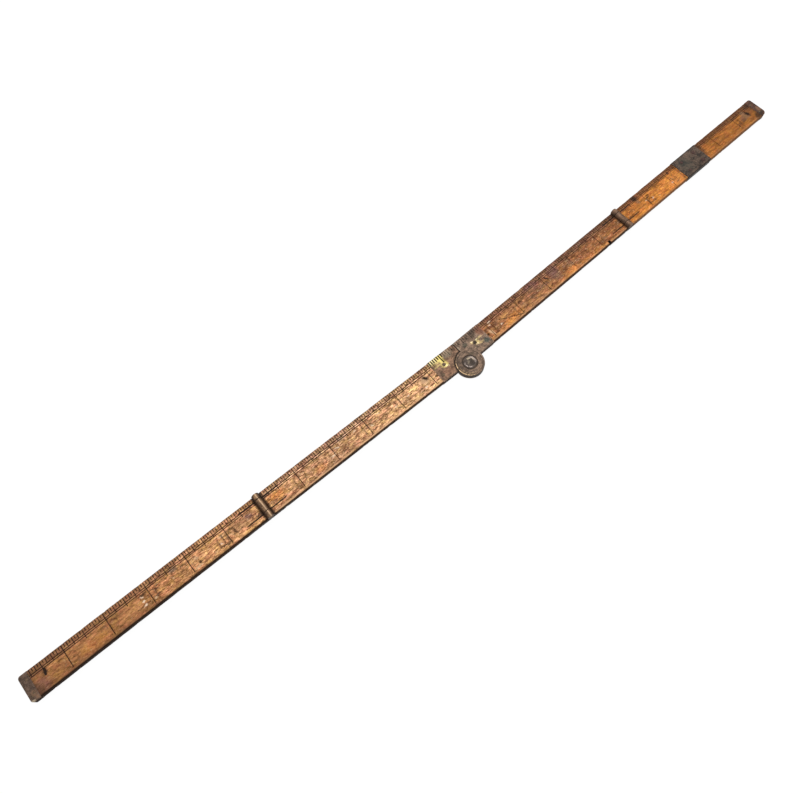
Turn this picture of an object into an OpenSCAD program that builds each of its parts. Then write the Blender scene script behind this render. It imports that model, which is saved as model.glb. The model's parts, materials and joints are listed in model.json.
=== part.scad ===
// Two-foot, four-fold carpenter's rule in boxwood with brass joints, opened out flat.
// The main joint turns about the Z axis, the underside lies in the plane Z = 0 and the scale
// faces +Z. The left half runs along -X and the graduated outer edges lie on the +Y side.
// Both halves are drawn from the pivot outwards along +X and then put in place.

/* [Legs] */
// Length of one inch of the scale
inch = 25.4; // [22:0.1:28]
// Inches on each of the four legs
leg_inches = 6; // [4:1:8]
// Width of a leg
leg_width = 16.2; // [15:0.1:20]
// Thickness of a leg
leg_thick = 4.4; // [4.2:0.1:5.4]
// Rounding of a leg's long edges
edge_round = 0.4; // [0.2:0.05:0.7]
// Distance from the pivot to the inner edge of each leg
edge_offset = 0.25; // [0.2:0.05:0.4]
// How far past straight the worn main joint lies, in degrees
rest_open = 2; // [0:0.25:2.5]

/* [Main joint] */
// Radius of the round joint discs
disc_r = 9.3; // [8.8:0.1:10.3]
// Length of the brass plates on each side of the pivot
plate_len = 21.5; // [20:0.5:26]
// Thickness of each brass plate
plate_thick = 1.1; // [0.9:0.05:1.3]
// Gap at the seam between the two halves
seam_gap = 0.3; // [0.2:0.05:0.5]
// Gap round the discs
disc_gap = 0.3; // [0.2:0.05:0.5]
// Running clearance on each face of the tongue
face_gap = 0.05; // [0.03:0.01:0.1]
// Rounding of a disc's worn rim
rim_round = 0.25; // [0.1:0.05:0.4]
// Length of the tongue's tang
tang_len = 16; // [14:0.5:18]
// Width of the tongue's tang
tang_width = 10; // [8:0.5:12]
// Radius of the pivot rivet's shank
pivot_r = 2.5; // [2:0.1:3]
// Running clearance round the pivot rivet's shank
pivot_gap = 0.05; // [0.02:0.01:0.1]
// Radius of the pivot rivet's heads
pivot_head_r = 4.2; // [3.6:0.1:5]
// Height of the pivot rivet's upper head
pivot_head_rise = 0.3; // [0.15:0.05:0.4]
// Depth of the pivot rivet's countersunk lower head
pivot_sink = 0.8; // [0.5:0.05:0.85]
// Radius of the rivets through the plates
plate_rivet_r = 1.2; // [0.8:0.05:1.4]
// Distance of the last rivets from the ends of the plates
plate_rivet_inset = 2.9; // [2.2:0.1:4]
// Distance of the tang's rivet from the end of the tang
tang_rivet_inset = 2.4; // [2:0.1:4]
// Distance of the cheek's first rivet from the disc's rim
disc_rivet_reach = 2.6; // [2:0.1:3.2]
// Angle of the cheek's first rivet from the leg, seen from the pivot, in degrees
disc_rivet_turn = 61; // [55:1:65]

/* [Barrel hinges] */
// Radius of the hinge barrel
barrel_r = 2.35; // [2.2:0.05:2.6]
// Height of the hinge axis above the scale face
axis_rise = 0.35; // [0.3:0.05:0.5]
// Distance of the hinge axis past the leg's last inch
axis_shift = 0.3; // [0.2:0.05:0.5]
// Gap between the barrel and what it turns past
barrel_gap = 0.15; // [0.1:0.05:0.25]
// Gap between neighbouring knuckles
knuckle_gap = 0.12; // [0.08:0.02:0.2]
// Length of the knuckle at the graduated edge
outer_knuckle = 3.35; // [2.5:0.05:4.5]
// Length of the knuckle at the inner edge
inner_knuckle = 4; // [3:0.1:5]
// Radius of the hinge pin
hinge_pin_r = 1; // [0.8:0.05:1.3]
// Running clearance round the hinge pin
hinge_pin_gap = 0.05; // [0.02:0.01:0.1]
// Radius of the pin's domed head
pin_head_r = 2.15; // [1.6:0.05:2.2]
// Height of the pin's domed head
pin_head_rise = 0.6; // [0.3:0.05:0.8]
// Gap from the hinge axis to the end of each leg
end_gap = 0.1; // [0.08:0.02:0.2]
// Length of a hinge leaf from the axis
leaf_len = 16; // [15:0.5:22]
// Thickness of a hinge leaf
leaf_thick = 1; // [0.8:0.05:1.2]
// How far a leaf's upper face lies above the bottom of the barrel
leaf_lap = 0.6; // [0.4:0.05:0.8]
// Length of the upright blades from the axis
blade_len = 14; // [10:0.5:14.5]
// Thickness of the upright blades
blade_thick = 0.45; // [0.3:0.05:0.6]
// How far the blades lie below the scale face
blade_sink = 0.1; // [0.05:0.05:0.3]
// Radius of the rivets that hold a leaf
leaf_rivet_r = 0.8; // [0.5:0.05:1]

/* [Tips] */
// Length of the brass tip caps
cap_len = 5.3; // [4:0.1:8]
// Thickness of the tip caps' sheet
cap_thick = 0.6; // [0.4:0.05:0.8]
// Radius of the rounded tip corners
tip_round = 1.8; // [1:0.1:2.5]
// Radius of the right tip's inner corner, which has worn more than the others
worn_tip_round = 3.2; // [1:0.1:4]
// Radius of the tip pins
tip_pin_r = 0.7; // [0.4:0.05:0.9]

/* [Repair band] */
// Distance from the pivot to the band's near edge
band_at = 214.3; // [205:0.5:225]
// Length of the band along the leg
band_len = 25.7; // [18:0.1:32]
// Thickness of the band's sheet
band_thick = 0.3; // [0.2:0.05:0.35]
// Distance of the upper nails from the band's ends
nail_inset = 5.7; // [3:0.1:8]
// How much further the near upper nail stands from the band's near end
near_upper_stray = 1; // [0:0.1:1.5]
// How much further the near lower nail stands from the band's near end
near_lower_stray = 0.6; // [0:0.1:1.5]
// How much nearer the far lower nail stands to the band's far end
far_lower_stray = 0.4; // [0:0.1:1.5]
// Radius of a nail's shank
nail_r = 0.45; // [0.3:0.05:0.6]
// Length of a nail below the band
nail_len = 3.2; // [2:0.1:3.6]
// Radius of a nail's head
nail_head_r = 0.9; // [0.7:0.05:1.2]
// Height of a nail's head
nail_head_rise = 0.14; // [0.08:0.02:0.16]

/* [Closing notch] */
// Distance from the pivot to the notch for the closing pin
notch_at = 132.5; // [120:0.5:134]
// Width of the notch
notch_width = 1.5; // [1:0.1:2.5]
// Depth of the notch into the inner edge
notch_depth = 2; // [1:0.1:2.8]

/* [Scale] */
// Parts that each inch is divided into
inch_parts = 16; // [4:4:16]
// Width of a cut line
line_width = 0.3; // [0.15:0.01:0.4]
// Depth of a cut line
line_depth = 0.14; // [0.08:0.01:0.2]
// Length of a sixteenth mark
sixteenth_len = 2.4; // [1.5:0.1:3]
// Distance of the first long line from the graduated edge, also the length of an eighth mark
first_line = 3.5; // [3.1:0.1:4]
// Distance of the second long line from the graduated edge, also the length of a quarter mark
second_line = 4.6; // [4.2:0.1:5.2]
// Length of a half-inch mark
half_len = 6.2; // [5.4:0.1:7.5]
// Length of an inch mark
inch_len = 14.2; // [9:0.1:14.8]
// Clear space between the marks and the fittings
line_margin = 0.4; // [0.3:0.1:1]

/* [Hidden] */
$fn = 96;

// The cutters reach this far past the faces that they cut
over = 1;

leg_len = inch * leg_inches;
half_length = 2 * leg_len;
hinge_x = leg_len + axis_shift;
inner_edge = edge_offset;
outer_edge = edge_offset + leg_width;
middle_y = (inner_edge + outer_edge) / 2;
core_low = plate_thick;
core_high = leg_thick - plate_thick;

axis_z = leg_thick + axis_rise;
inner_seam = inner_edge + inner_knuckle;
outer_seam = outer_edge - outer_knuckle;
leaf_high = axis_z - barrel_r + leaf_lap;
leaf_low = leaf_high - leaf_thick;
groove_r = barrel_r + barrel_gap;

// Rivets in the plan of a half: on the tongue side through the tang and by the plate's end,
// on the cheek side round the disc, in the middle and by the plate's end
tongue_rivet_spots = [
    [tang_len - tang_rivet_inset, inner_edge + 0.55 * leg_width],
    [plate_len - plate_rivet_inset, inner_edge + 0.23 * leg_width]
];
cheek_rivet_spots = [
    (disc_r + disc_rivet_reach) * [cos(disc_rivet_turn), sin(disc_rivet_turn)],
    [0.55 * plate_len, inner_edge + 0.46 * leg_width],
    [plate_len - plate_rivet_inset, inner_edge + 0.24 * leg_width]
];
leaf_rivet_spots = [
    [0.4 * leaf_len, inner_edge + 0.34 * leg_width],
    [0.75 * leaf_len, inner_edge + 0.66 * leg_width]
];
tip_pin_spots = [
    [half_length - 0.63 * cap_len, inner_edge + 0.25 * leg_width],
    [half_length - 0.63 * cap_len, inner_edge + 0.75 * leg_width]
];
nail_spots = [
    [band_at + nail_inset + near_upper_stray, inner_edge + 0.73 * leg_width],
    [band_at + nail_inset + near_lower_stray, inner_edge + 0.2 * leg_width],
    [band_at + band_len - nail_inset, inner_edge + 0.74 * leg_width],
    [band_at + band_len - nail_inset + far_lower_stray, inner_edge + 0.21 * leg_width]
];

module left_half() {
    mirror([1, 0, 0]) children();
}

module right_half() {
    rotate([0, 0, rest_open]) children();
}

module at_hinge() {
    translate([hinge_x, 0, 0]) children();
}

// A box given by its two corners
module block(low, high) {
    translate(low) cube(high - low);
}

// Round pins of one radius standing at each spot, between two heights
module pins(spots, r, low, high) {
    for (spot = spots) {
        translate([spot[0], spot[1], low]) cylinder(h = high - low, r = r);
    }
}

// A shallow dome of radius r on the plane Z = 0
module dome(r, rise) {
    ball_r = (r * r + rise * rise) / (2 * rise);
    intersection() {
        translate([0, 0, rise - ball_r]) sphere(r = ball_r);
        cylinder(h = rise + over, r = r);
    }
}

// A bar along X with the section of a leg, grown all round by wall
module leg_bar(from, to, wall = 0) {
    r = edge_round + wall;
    w = leg_width + 2 * wall;
    t = leg_thick + 2 * wall;
    translate([from, inner_edge - wall, -wall]) rotate([90, 0, 90]) linear_extrude(to - from) {
        translate([r, 0]) square([w - 2 * r, t]);
        translate([0, r]) square([w, t - 2 * r]);
        for (y = [r, w - r], z = [r, t - r]) {
            translate([y, z]) circle(r = r);
        }
    }
}

// What rounding by r takes off the lower right corner at the origin
module corner_waste(r) {
    difference() {
        translate([-r, -over]) square([r + over, r + over]);
        translate([-r, r]) circle(r = r);
    }
}

// The plan of a leg that ends in the rounded tip, drawn as a block; inner_r is the radius of
// the corner at the inner edge
module tip_plan(from, inner_r) {
    translate([0, 0, -over]) linear_extrude(leg_thick + 2 * over) difference() {
        translate([from, inner_edge]) square([half_length - from, leg_width]);
        translate([half_length, inner_edge]) corner_waste(inner_r);
        translate([half_length, outer_edge]) mirror([0, 1]) corner_waste(tip_round);
    }
}

// The length of the mark at one division of the scale
function mark_len(k) =
    k % inch_parts == 0 ? inch_len :
    k % (inch_parts / 2) == 0 ? half_len :
    k % (inch_parts / 4) == 0 ? second_line :
    k % 2 == 0 ? first_line :
    sixteenth_len;

// The cut marks of the scale between two distances from the pivot
module scale_marks(from, to) {
    step = inch / inch_parts;
    for (k = [ceil(from / step) : floor(to / step)]) {
        block([k * step - line_width / 2, outer_edge - mark_len(k), leg_thick - line_depth],
              [k * step + line_width / 2, outer_edge + over, leg_thick + over]);
    }
}

// The two long lines that bound the eighth and quarter marks
module scale_lines(from, to) {
    for (reach = [first_line, second_line]) {
        block([from, outer_edge - reach - line_width / 2, leg_thick - line_depth],
              [to, outer_edge - reach + line_width / 2, leg_thick + over]);
    }
}

// The brass cap that wraps the tip's two faces and its end
module tip_cap(inner_r) {
    difference() {
        intersection() {
            leg_bar(half_length - cap_len, half_length);
            tip_plan(half_length - cap_len, inner_r);
        }
        block([half_length - cap_len - over, inner_edge - over, cap_thick],
              [half_length - cap_thick, outer_edge + over, leg_thick - cap_thick]);
        pins(tip_pin_spots, tip_pin_r, -over, leg_thick + over);
    }
}

// The room of a barrel between two distances across the leg
module barrel_room(low, high) {
    translate([0, low, axis_z]) rotate([-90, 0, 0]) cylinder(h = high - low, r = groove_r);
}

// A knuckle of the barrel between two distances across the leg
module knuckle(low, high) {
    translate([0, low, axis_z]) rotate([-90, 0, 0]) cylinder(h = high - low, r = barrel_r);
}

// The bore for the hinge pin, with a gap all round it
module pin_bore(gap) {
    translate([0, inner_edge - over, axis_z]) rotate([-90, 0, 0]) {
        cylinder(h = leg_width + 2 * over, r = hinge_pin_r + gap);
    }
}

// The flat plate of a leaf, let into the middle of the leg's thickness
module leaf_plate() {
    block([end_gap, inner_edge, leaf_low], [leaf_len, outer_edge, leaf_high]);
}

// The upright blades: a leaf with the two end knuckles has them outside the seams,
// the leaf with the middle knuckle has them inside
module leaf_blades(pair, from, low, high) {
    near = knuckle_gap / 2;
    far = near + blade_thick;
    outer_low = pair ? outer_seam + near : outer_seam - far;
    inner_low = pair ? inner_seam - far : inner_seam + near;
    for (y = [outer_low, inner_low]) {
        block([from, y, low], [blade_len, y + blade_thick, high]);
    }
}

// A hinge leaf about its axis; side is 1 on the leg that lies away from the pivot
module hinge_leaf(side, pair) {
    gap = knuckle_gap / 2;
    mirror([side < 0 ? 1 : 0, 0, 0]) difference() {
        union() {
            leaf_plate();
            leaf_blades(pair, groove_r, leaf_low, leg_thick - blade_sink);
            if (pair) {
                knuckle(inner_edge, inner_seam - gap);
                knuckle(outer_seam + gap, outer_edge);
            } else {
                knuckle(inner_seam + gap, outer_seam - gap);
            }
        }
        if (pair) {
            barrel_room(inner_seam - gap, outer_seam + gap);
        } else {
            barrel_room(inner_edge - over, inner_seam + gap);
            barrel_room(outer_seam - gap, outer_edge + over);
        }
        pin_bore(pair ? 0 : hinge_pin_gap);
        pins(leaf_rivet_spots, leaf_rivet_r, -over, leg_thick);
    }
}

// What a hinge takes out of the end of a leg
module hinge_seat(side, pair) {
    mirror([side < 0 ? 1 : 0, 0, 0]) {
        barrel_room(inner_edge - over, outer_edge + over);
        block([-over, inner_edge - over, leaf_low], [leaf_len, outer_edge + over, leaf_high]);
        leaf_blades(pair, 0, leaf_low, leg_thick + over);
        pins(leaf_rivet_spots, leaf_rivet_r, -over, leaf_high);
    }
}

module leaf_rivets(side) {
    mirror([side < 0 ? 1 : 0, 0, 0]) pins(leaf_rivet_spots, leaf_rivet_r, 0, leaf_high);
}

module hinge_pin() {
    translate([0, inner_edge, axis_z]) rotate([-90, 0, 0]) {
        cylinder(h = leg_width, r = hinge_pin_r);
        translate([0, 0, leg_width]) dome(pin_head_r, pin_head_rise);
    }
}

// The outer leg of a half, with its tip rebated for the cap
module outer_leg(pair, inner_r) {
    difference() {
        intersection() {
            leg_bar(hinge_x + end_gap, half_length);
            tip_plan(hinge_x, inner_r);
        }
        tip_cap(inner_r);
        pins(tip_pin_spots, tip_pin_r, -over, leg_thick + over);
        at_hinge() hinge_seat(1, pair);
        scale_marks(hinge_x + groove_r + line_margin, half_length - cap_len - line_margin);
        scale_lines(hinge_x + groove_r, half_length - cap_len);
    }
}

// The inner leg of a half, thinned to a core between the joint's plates
module inner_leg(pair) {
    difference() {
        leg_bar(0, hinge_x - end_gap);
        block([-over, inner_edge - over, -over], [plate_len, outer_edge + over, core_low]);
        block([-over, inner_edge - over, core_high],
              [plate_len, outer_edge + over, leg_thick + over]);
        translate([0, 0, -over]) cylinder(h = leg_thick + 2 * over, r = disc_r + disc_gap);
        at_hinge() hinge_seat(-1, pair);
        scale_marks(plate_len + line_margin, hinge_x - groove_r - line_margin);
        scale_lines(plate_len, hinge_x - groove_r);
    }
}

// Only what lies on the left of the seam
module keep_left() {
    intersection() {
        children();
        block([-half_length, -half_length, -over], [-seam_gap / 2, half_length, leg_thick + over]);
    }
}

// Only what lies on the right of the seam
module keep_right() {
    intersection() {
        children();
        block([seam_gap / 2, -half_length, -over], [half_length, half_length, leg_thick + over]);
    }
}

// One square brass plate of a half, between two heights
module joint_plate(low, high) {
    block([0, inner_edge, low], [plate_len, outer_edge, high]);
}

// A joint disc whose free rim is rounded on the side that shows
module joint_disc(rim_up) {
    translate([0, 0, rim_up ? 0 : plate_thick]) mirror([0, 0, rim_up ? 0 : 1]) rotate_extrude() {
        square([disc_r - rim_round, plate_thick]);
        square([disc_r, plate_thick - rim_round]);
        translate([disc_r - rim_round, plate_thick - rim_round]) circle(r = rim_round);
    }
}

// The tongue's tang, let into the core of the left inner leg
module tang() {
    block([0, middle_y - tang_width / 2, core_low + face_gap],
          [tang_len, middle_y + tang_width / 2, core_high - face_gap]);
}

// The pivot rivet has a low flat head on top and a countersunk head underneath
module pivot_shape() {
    cylinder(h = leg_thick, r = pivot_r);
    cylinder(h = pivot_sink, r1 = pivot_head_r, r2 = pivot_r);
    translate([0, 0, leg_thick]) rotate_extrude() {
        edge = pivot_head_rise / 2;
        square([pivot_head_r - edge, pivot_head_rise]);
        square([pivot_head_r, edge]);
        translate([pivot_head_r - edge, edge]) circle(r = edge);
    }
}

module outer_leg_left() {
    color("#a8713d") left_half() outer_leg(true, tip_round);
}

module inner_leg_left() {
    color("#c98f5c") keep_left() left_half() difference() {
        inner_leg(false);
        block([-over, middle_y - tang_width / 2, core_low - over],
              [tang_len, middle_y + tang_width / 2, core_high + over]);
        pins(tongue_rivet_spots, plate_rivet_r, -over, leg_thick + over);
    }
}

module inner_leg_right() {
    color("#a9693a") keep_right() right_half() difference() {
        inner_leg(true);
        pins(cheek_rivet_spots, plate_rivet_r, -over, leg_thick + over);
        block([notch_at - notch_width / 2, inner_edge - over, -over],
              [notch_at + notch_width / 2, inner_edge + notch_depth, leg_thick + over]);
    }
}

module outer_leg_right() {
    color("#c07a35") right_half() difference() {
        outer_leg(false, worn_tip_round);
        pins(nail_spots, nail_r, leg_thick - nail_len, leg_thick + over);
    }
}

module tip_cap_left() {
    color("#5a4a38") left_half() tip_cap(tip_round);
}

module tip_cap_right() {
    color("#5a4a38") right_half() tip_cap(worn_tip_round);
}

module tip_pins_left() {
    color("#8c7748") left_half() pins(tip_pin_spots, tip_pin_r, 0, leg_thick);
}

module tip_pins_right() {
    color("#8c7748") right_half() pins(tip_pin_spots, tip_pin_r, 0, leg_thick);
}

module left_hinge_outer_leaf() {
    color("#6e5c45") left_half() at_hinge() hinge_leaf(1, true);
}

module left_hinge_inner_leaf() {
    color("#77654c") left_half() at_hinge() hinge_leaf(-1, false);
}

module left_hinge_pin() {
    color("#93805e") left_half() at_hinge() hinge_pin();
}

module left_hinge_outer_rivets() {
    color("#8c7748") left_half() at_hinge() leaf_rivets(1);
}

module left_hinge_inner_rivets() {
    color("#8c7748") left_half() at_hinge() leaf_rivets(-1);
}

module right_hinge_inner_leaf() {
    color("#6e5c45") right_half() at_hinge() hinge_leaf(-1, true);
}

module right_hinge_outer_leaf() {
    color("#77654c") right_half() at_hinge() hinge_leaf(1, false);
}

module right_hinge_pin() {
    color("#93805e") right_half() at_hinge() hinge_pin();
}

module right_hinge_inner_rivets() {
    color("#8c7748") right_half() at_hinge() leaf_rivets(-1);
}

module right_hinge_outer_rivets() {
    color("#8c7748") right_half() at_hinge() leaf_rivets(1);
}

module joint_tongue() {
    color("#84714a") difference() {
        union() {
            translate([0, 0, core_low + face_gap]) {
                cylinder(h = core_high - core_low - 2 * face_gap, r = disc_r);
            }
            keep_left() left_half() tang();
        }
        translate([0, 0, -over]) cylinder(h = leg_thick + 2 * over, r = pivot_r + pivot_gap);
        left_half() pins(tongue_rivet_spots, plate_rivet_r, -over, leg_thick + over);
    }
}

// A plate of the tongue's side, hollowed round the disc
module tongue_plate(low, high) {
    keep_left() left_half() difference() {
        joint_plate(low, high);
        translate([0, 0, -over]) cylinder(h = leg_thick + 2 * over, r = disc_r + disc_gap);
        pins(tongue_rivet_spots, plate_rivet_r, -over, leg_thick + over);
    }
}

module tongue_top_plate() {
    color("#8a7550") difference() {
        tongue_plate(core_high, leg_thick);
        left_half() scale_marks(seam_gap / 2 + line_margin, plate_len - line_margin);
    }
}

module tongue_bottom_plate() {
    color("#8a7550") tongue_plate(0, core_low);
}

module tongue_side_rivets() {
    color("#a08a55") left_half() pins(tongue_rivet_spots, plate_rivet_r, 0, leg_thick);
}

module joint_top_cheek() {
    color("#7d6b4d") difference() {
        union() {
            translate([0, 0, core_high]) joint_disc(true);
            keep_right() right_half() joint_plate(core_high, leg_thick);
        }
        pivot_shape();
        right_half() {
            pins(cheek_rivet_spots, plate_rivet_r, -over, leg_thick + over);
            scale_marks(seam_gap / 2 + line_margin, plate_len - line_margin);
        }
    }
}

module joint_bottom_cheek() {
    color("#7d6b4d") difference() {
        union() {
            joint_disc(false);
            keep_right() right_half() joint_plate(0, core_low);
        }
        pivot_shape();
        right_half() pins(cheek_rivet_spots, plate_rivet_r, -over, leg_thick + over);
    }
}

module cheek_side_rivets() {
    color("#a08a55") right_half() pins(cheek_rivet_spots, plate_rivet_r, 0, leg_thick);
}

module pivot_rivet() {
    color("#8f8272") pivot_shape();
}

// The mender's sheet wrapped round the split outer leg
module repair_band() {
    color("#4c4640") right_half() difference() {
        leg_bar(band_at, band_at + band_len, band_thick);
        leg_bar(band_at - over, band_at + band_len + over);
        pins(nail_spots, nail_r, leg_thick - over, leg_thick + over);
    }
}

module repair_nails() {
    color("#6b3f34") right_half() for (spot = nail_spots) {
        translate([spot[0], spot[1], leg_thick + band_thick]) {
            translate([0, 0, -nail_len - band_thick]) {
                cylinder(h = nail_len + band_thick, r = nail_r);
            }
            dome(nail_head_r, nail_head_rise);
        }
    }
}

outer_leg_left();
inner_leg_left();
inner_leg_right();
outer_leg_right();
tip_cap_left();
tip_cap_right();
tip_pins_left();
tip_pins_right();
left_hinge_outer_leaf();
left_hinge_inner_leaf();
left_hinge_pin();
left_hinge_outer_rivets();
left_hinge_inner_rivets();
right_hinge_inner_leaf();
right_hinge_outer_leaf();
right_hinge_pin();
right_hinge_inner_rivets();
right_hinge_outer_rivets();
joint_tongue();
tongue_top_plate();
tongue_bottom_plate();
tongue_side_rivets();
joint_top_cheek();
joint_bottom_cheek();
cheek_side_rivets();
pivot_rivet();
repair_band();
repair_nails();
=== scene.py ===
# %% [markdown]
# A worn two-foot rule that folds in four
#
# The real object is four thin boxwood legs with brass fittings: a round joint in the middle,
# two barrel hinges, a cap on each tip, and a mender's sheet nailed round a split. This lesson
# dresses the fixed CAD frame. The frame says where everything is; here each piece gets the
# surface that many years in a tool bag have given it.

# %% Load the fixed frame
import json
import math

import bmesh
import bpy
from mathutils import Matrix, Vector, noise


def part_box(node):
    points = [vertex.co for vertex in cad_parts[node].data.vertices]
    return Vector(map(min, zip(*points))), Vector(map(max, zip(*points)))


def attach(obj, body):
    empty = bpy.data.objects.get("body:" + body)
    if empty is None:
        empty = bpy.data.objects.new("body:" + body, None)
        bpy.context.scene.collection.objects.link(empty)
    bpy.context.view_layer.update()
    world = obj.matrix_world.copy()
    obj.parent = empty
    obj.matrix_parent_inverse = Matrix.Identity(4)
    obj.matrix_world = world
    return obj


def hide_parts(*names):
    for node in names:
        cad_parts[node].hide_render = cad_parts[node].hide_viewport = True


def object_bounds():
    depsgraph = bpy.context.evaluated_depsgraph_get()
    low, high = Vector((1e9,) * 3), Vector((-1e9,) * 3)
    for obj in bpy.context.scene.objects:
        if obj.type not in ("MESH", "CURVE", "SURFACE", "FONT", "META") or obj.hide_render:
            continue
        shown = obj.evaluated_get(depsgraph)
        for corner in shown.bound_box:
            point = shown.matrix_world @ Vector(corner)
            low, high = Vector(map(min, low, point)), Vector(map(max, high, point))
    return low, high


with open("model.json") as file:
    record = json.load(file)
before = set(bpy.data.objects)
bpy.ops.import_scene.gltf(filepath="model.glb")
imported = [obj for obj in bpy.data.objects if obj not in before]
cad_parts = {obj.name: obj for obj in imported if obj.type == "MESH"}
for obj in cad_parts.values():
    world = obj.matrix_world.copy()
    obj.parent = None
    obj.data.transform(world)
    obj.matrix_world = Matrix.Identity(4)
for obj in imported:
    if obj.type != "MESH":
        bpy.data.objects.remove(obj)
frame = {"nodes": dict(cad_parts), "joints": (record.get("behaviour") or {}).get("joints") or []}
cad_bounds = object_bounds()
print("CAD corners in metres:", [tuple(round(value, 4) for value in corner) for corner in cad_bounds])

# %% [markdown]
# Sizes are taken from the frame, so they can't drift from the CAD. They are kept in
# millimetres, as a rule maker would write them. Each half is drawn along +X from the pivot and
# then put in place: the left half by a mirror, the right half by the small turn that its worn
# joint has taken past straight, which is read from the tilt of the right hinge's axis.

# %% Measure the frame
MM = 0.001


def reach(node, corner, axis):
    """One coordinate, in millimetres, of the lowest (0) or highest (1) corner of a node."""
    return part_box(node)[corner][axis] / MM


TOP = reach("outer_leg_left", 1, 2)
INNER_EDGE = reach("outer_leg_left", 0, 1)
OUTER_EDGE = reach("outer_leg_left", 1, 1)
WIDTH = OUTER_EDGE - INNER_EDGE
HALF_LENGTH = -reach("tip_cap_left", 0, 0)
CAP_LENGTH = HALF_LENGTH + reach("tip_cap_left", 1, 0)
PLATE_LENGTH = -reach("tongue_top_plate", 0, 0)
DISC_RADIUS = reach("joint_tongue", 1, 0)
HINGE = -(reach("left_hinge_pin", 0, 0) + reach("left_hinge_pin", 1, 0)) / 2
INCHES_IN_HALF = 12
INCH = HALF_LENGTH / INCHES_IN_HALF

right_axis = next(joint["axis"] for joint in frame["joints"] if joint["name"] == "right_fold")
PAST_STRAIGHT = math.atan2(right_axis[0], -right_axis[1])
LEFT = Matrix.Scale(-1, 4, (1, 0, 0))
RIGHT = Matrix.Rotation(PAST_STRAIGHT, 4, "Z")
print(f"leg {WIDTH:.1f} x {TOP:.1f} mm, half {HALF_LENGTH:.1f} mm, hinge at {HINGE:.1f} mm,",
      f"disc radius {DISC_RADIUS:.1f} mm, past straight {math.degrees(PAST_STRAIGHT):.1f} degrees")

# %% [markdown]
# The camera stands where the photographer did: above the left half, looking down past the
# pivot. Its place and direction come from the inch marks, whose spacing shrinks with distance.
# Three axes make its rotation matrix, so no angle has to be guessed.

# %% Place the camera
IMAGE_PIXELS = 794
FOCAL_PIXELS = 726.8
SENSOR = 36
eye = Vector((-164.2, -118.5, 412.2)) * MM
forward = Vector((0.2574, 0.2926, -0.9209)).normalized()
down = Vector((-0.5904, -0.7068, -0.3896))
down = (down - forward * down.dot(forward)).normalized()
across = down.cross(forward)

camera_data = bpy.data.cameras.new("camera")
camera_data.sensor_width = SENSOR
camera_data.lens = FOCAL_PIXELS / IMAGE_PIXELS * SENSOR
camera_data.clip_start = 0.01
camera = bpy.data.objects.new("camera", camera_data)
camera_turn = Matrix((across, -down, -forward)).transposed().to_4x4()
camera.matrix_world = Matrix.Translation(eye) @ camera_turn
bpy.context.scene.collection.objects.link(camera)
bpy.context.scene.camera = camera
print("camera lens in millimetres:", round(camera_data.lens, 2))

# %% [markdown]
# Shader maths reads best as plain expressions. A Wire is one output socket of a node, and
# adding or multiplying wires adds the Math node for it. Everything that isn't arithmetic comes
# from one method, node, which sets a node's settings first and its sockets after them. A
# finish is then a stack of layers: a colour is covered or tinted where a mask is above 0.
# The same class serves Geometry Nodes, whose Math nodes are the same.

# %% A wire that can be added and multiplied
class Wire:
    """One output of a node in a tree."""

    def __init__(self, tree, socket=None):
        self.tree = tree
        self.socket = socket

    def node(self, kind, settings=None, values=None, output=0):
        """Adds a node: its settings, then the values or wires of its sockets."""
        made = self.tree.nodes.new(kind)
        for name, value in (settings or {}).items():
            if name == "stops":
                ramp = made.color_ramp
                while len(ramp.elements) < len(value):
                    ramp.elements.new(1.0)
                for element, (place, colour) in zip(ramp.elements, value):
                    element.position = place
                    element.color = colour
            else:
                setattr(made, name, value)
        for name, value in (values or {}).items():
            for one in value if isinstance(value, list) else [value]:
                if isinstance(one, Wire):
                    self.tree.links.new(one.socket, made.inputs[name])
                else:
                    made.inputs[name].default_value = one
        return Wire(self.tree, made.outputs[output] if made.outputs else None)

    def math(self, operation, *others):
        """Adds a Math node for this wire and the other operands."""
        operands = dict(enumerate((self,) + others))
        return self.node("ShaderNodeMath", {"operation": operation}, operands)

    def __add__(self, other):
        return self.math("ADD", other)

    __radd__ = __add__

    def __mul__(self, other):
        return self.math("MULTIPLY", other)

    __rmul__ = __mul__

    def __sub__(self, other):
        return self.math("SUBTRACT", other)

    def __rsub__(self, other):
        return self.node("ShaderNodeMath", {"operation": "SUBTRACT"}, {0: other, 1: self})

    def __truediv__(self, other):
        return self.math("DIVIDE", other)

    def fade(self, start, end):
        """A smooth slope from 0 at start to 1 at end; start may be the larger."""
        settings = {"interpolation_type": "SMOOTHSTEP", "clamp": True}
        values = {"Value": self, "From Min": min(start, end), "From Max": max(start, end)}
        if start > end:
            values.update({"To Min": 1.0, "To Max": 0.0})
        return self.node("ShaderNodeMapRange", settings, values)

    def near(self, value, far, close):
        """1 within close of a value, falling to 0 at far from it."""
        return (self - value).math("ABSOLUTE").fade(far, close)

    def capped(self):
        """This wire, or 1 where it is more."""
        return self.math("MINIMUM", 1.0)

    def covered(self, mask, colour):
        """This colour with another laid over it where the mask says."""
        return blend_colours(mask, self, colour)

    def tinted(self, mask, colour):
        """This colour multiplied by another where the mask says."""
        return blend_colours(mask, self, colour, "MULTIPLY")


def blend_colours(factor, first, second, way="MIX"):
    """Mixes two colours by a wire, in one of the Mix node's ways."""
    # The Mix node has a set of sockets for each kind of value: 6, 7 and output 2 are the colours
    settings = {"data_type": "RGBA", "blend_type": way}
    return factor.node("ShaderNodeMix", settings, {0: factor, 6: first, 7: second}, 2)


def paint(red, green, blue):
    """A colour as it is read from a screen, turned into the shader's own values."""
    def linear(value):
        share = value / 255
        return share / 12.92 if share <= 0.04045 else ((share + 0.055) / 1.055) ** 2.4
    return linear(red), linear(green), linear(blue), 1.0


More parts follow.
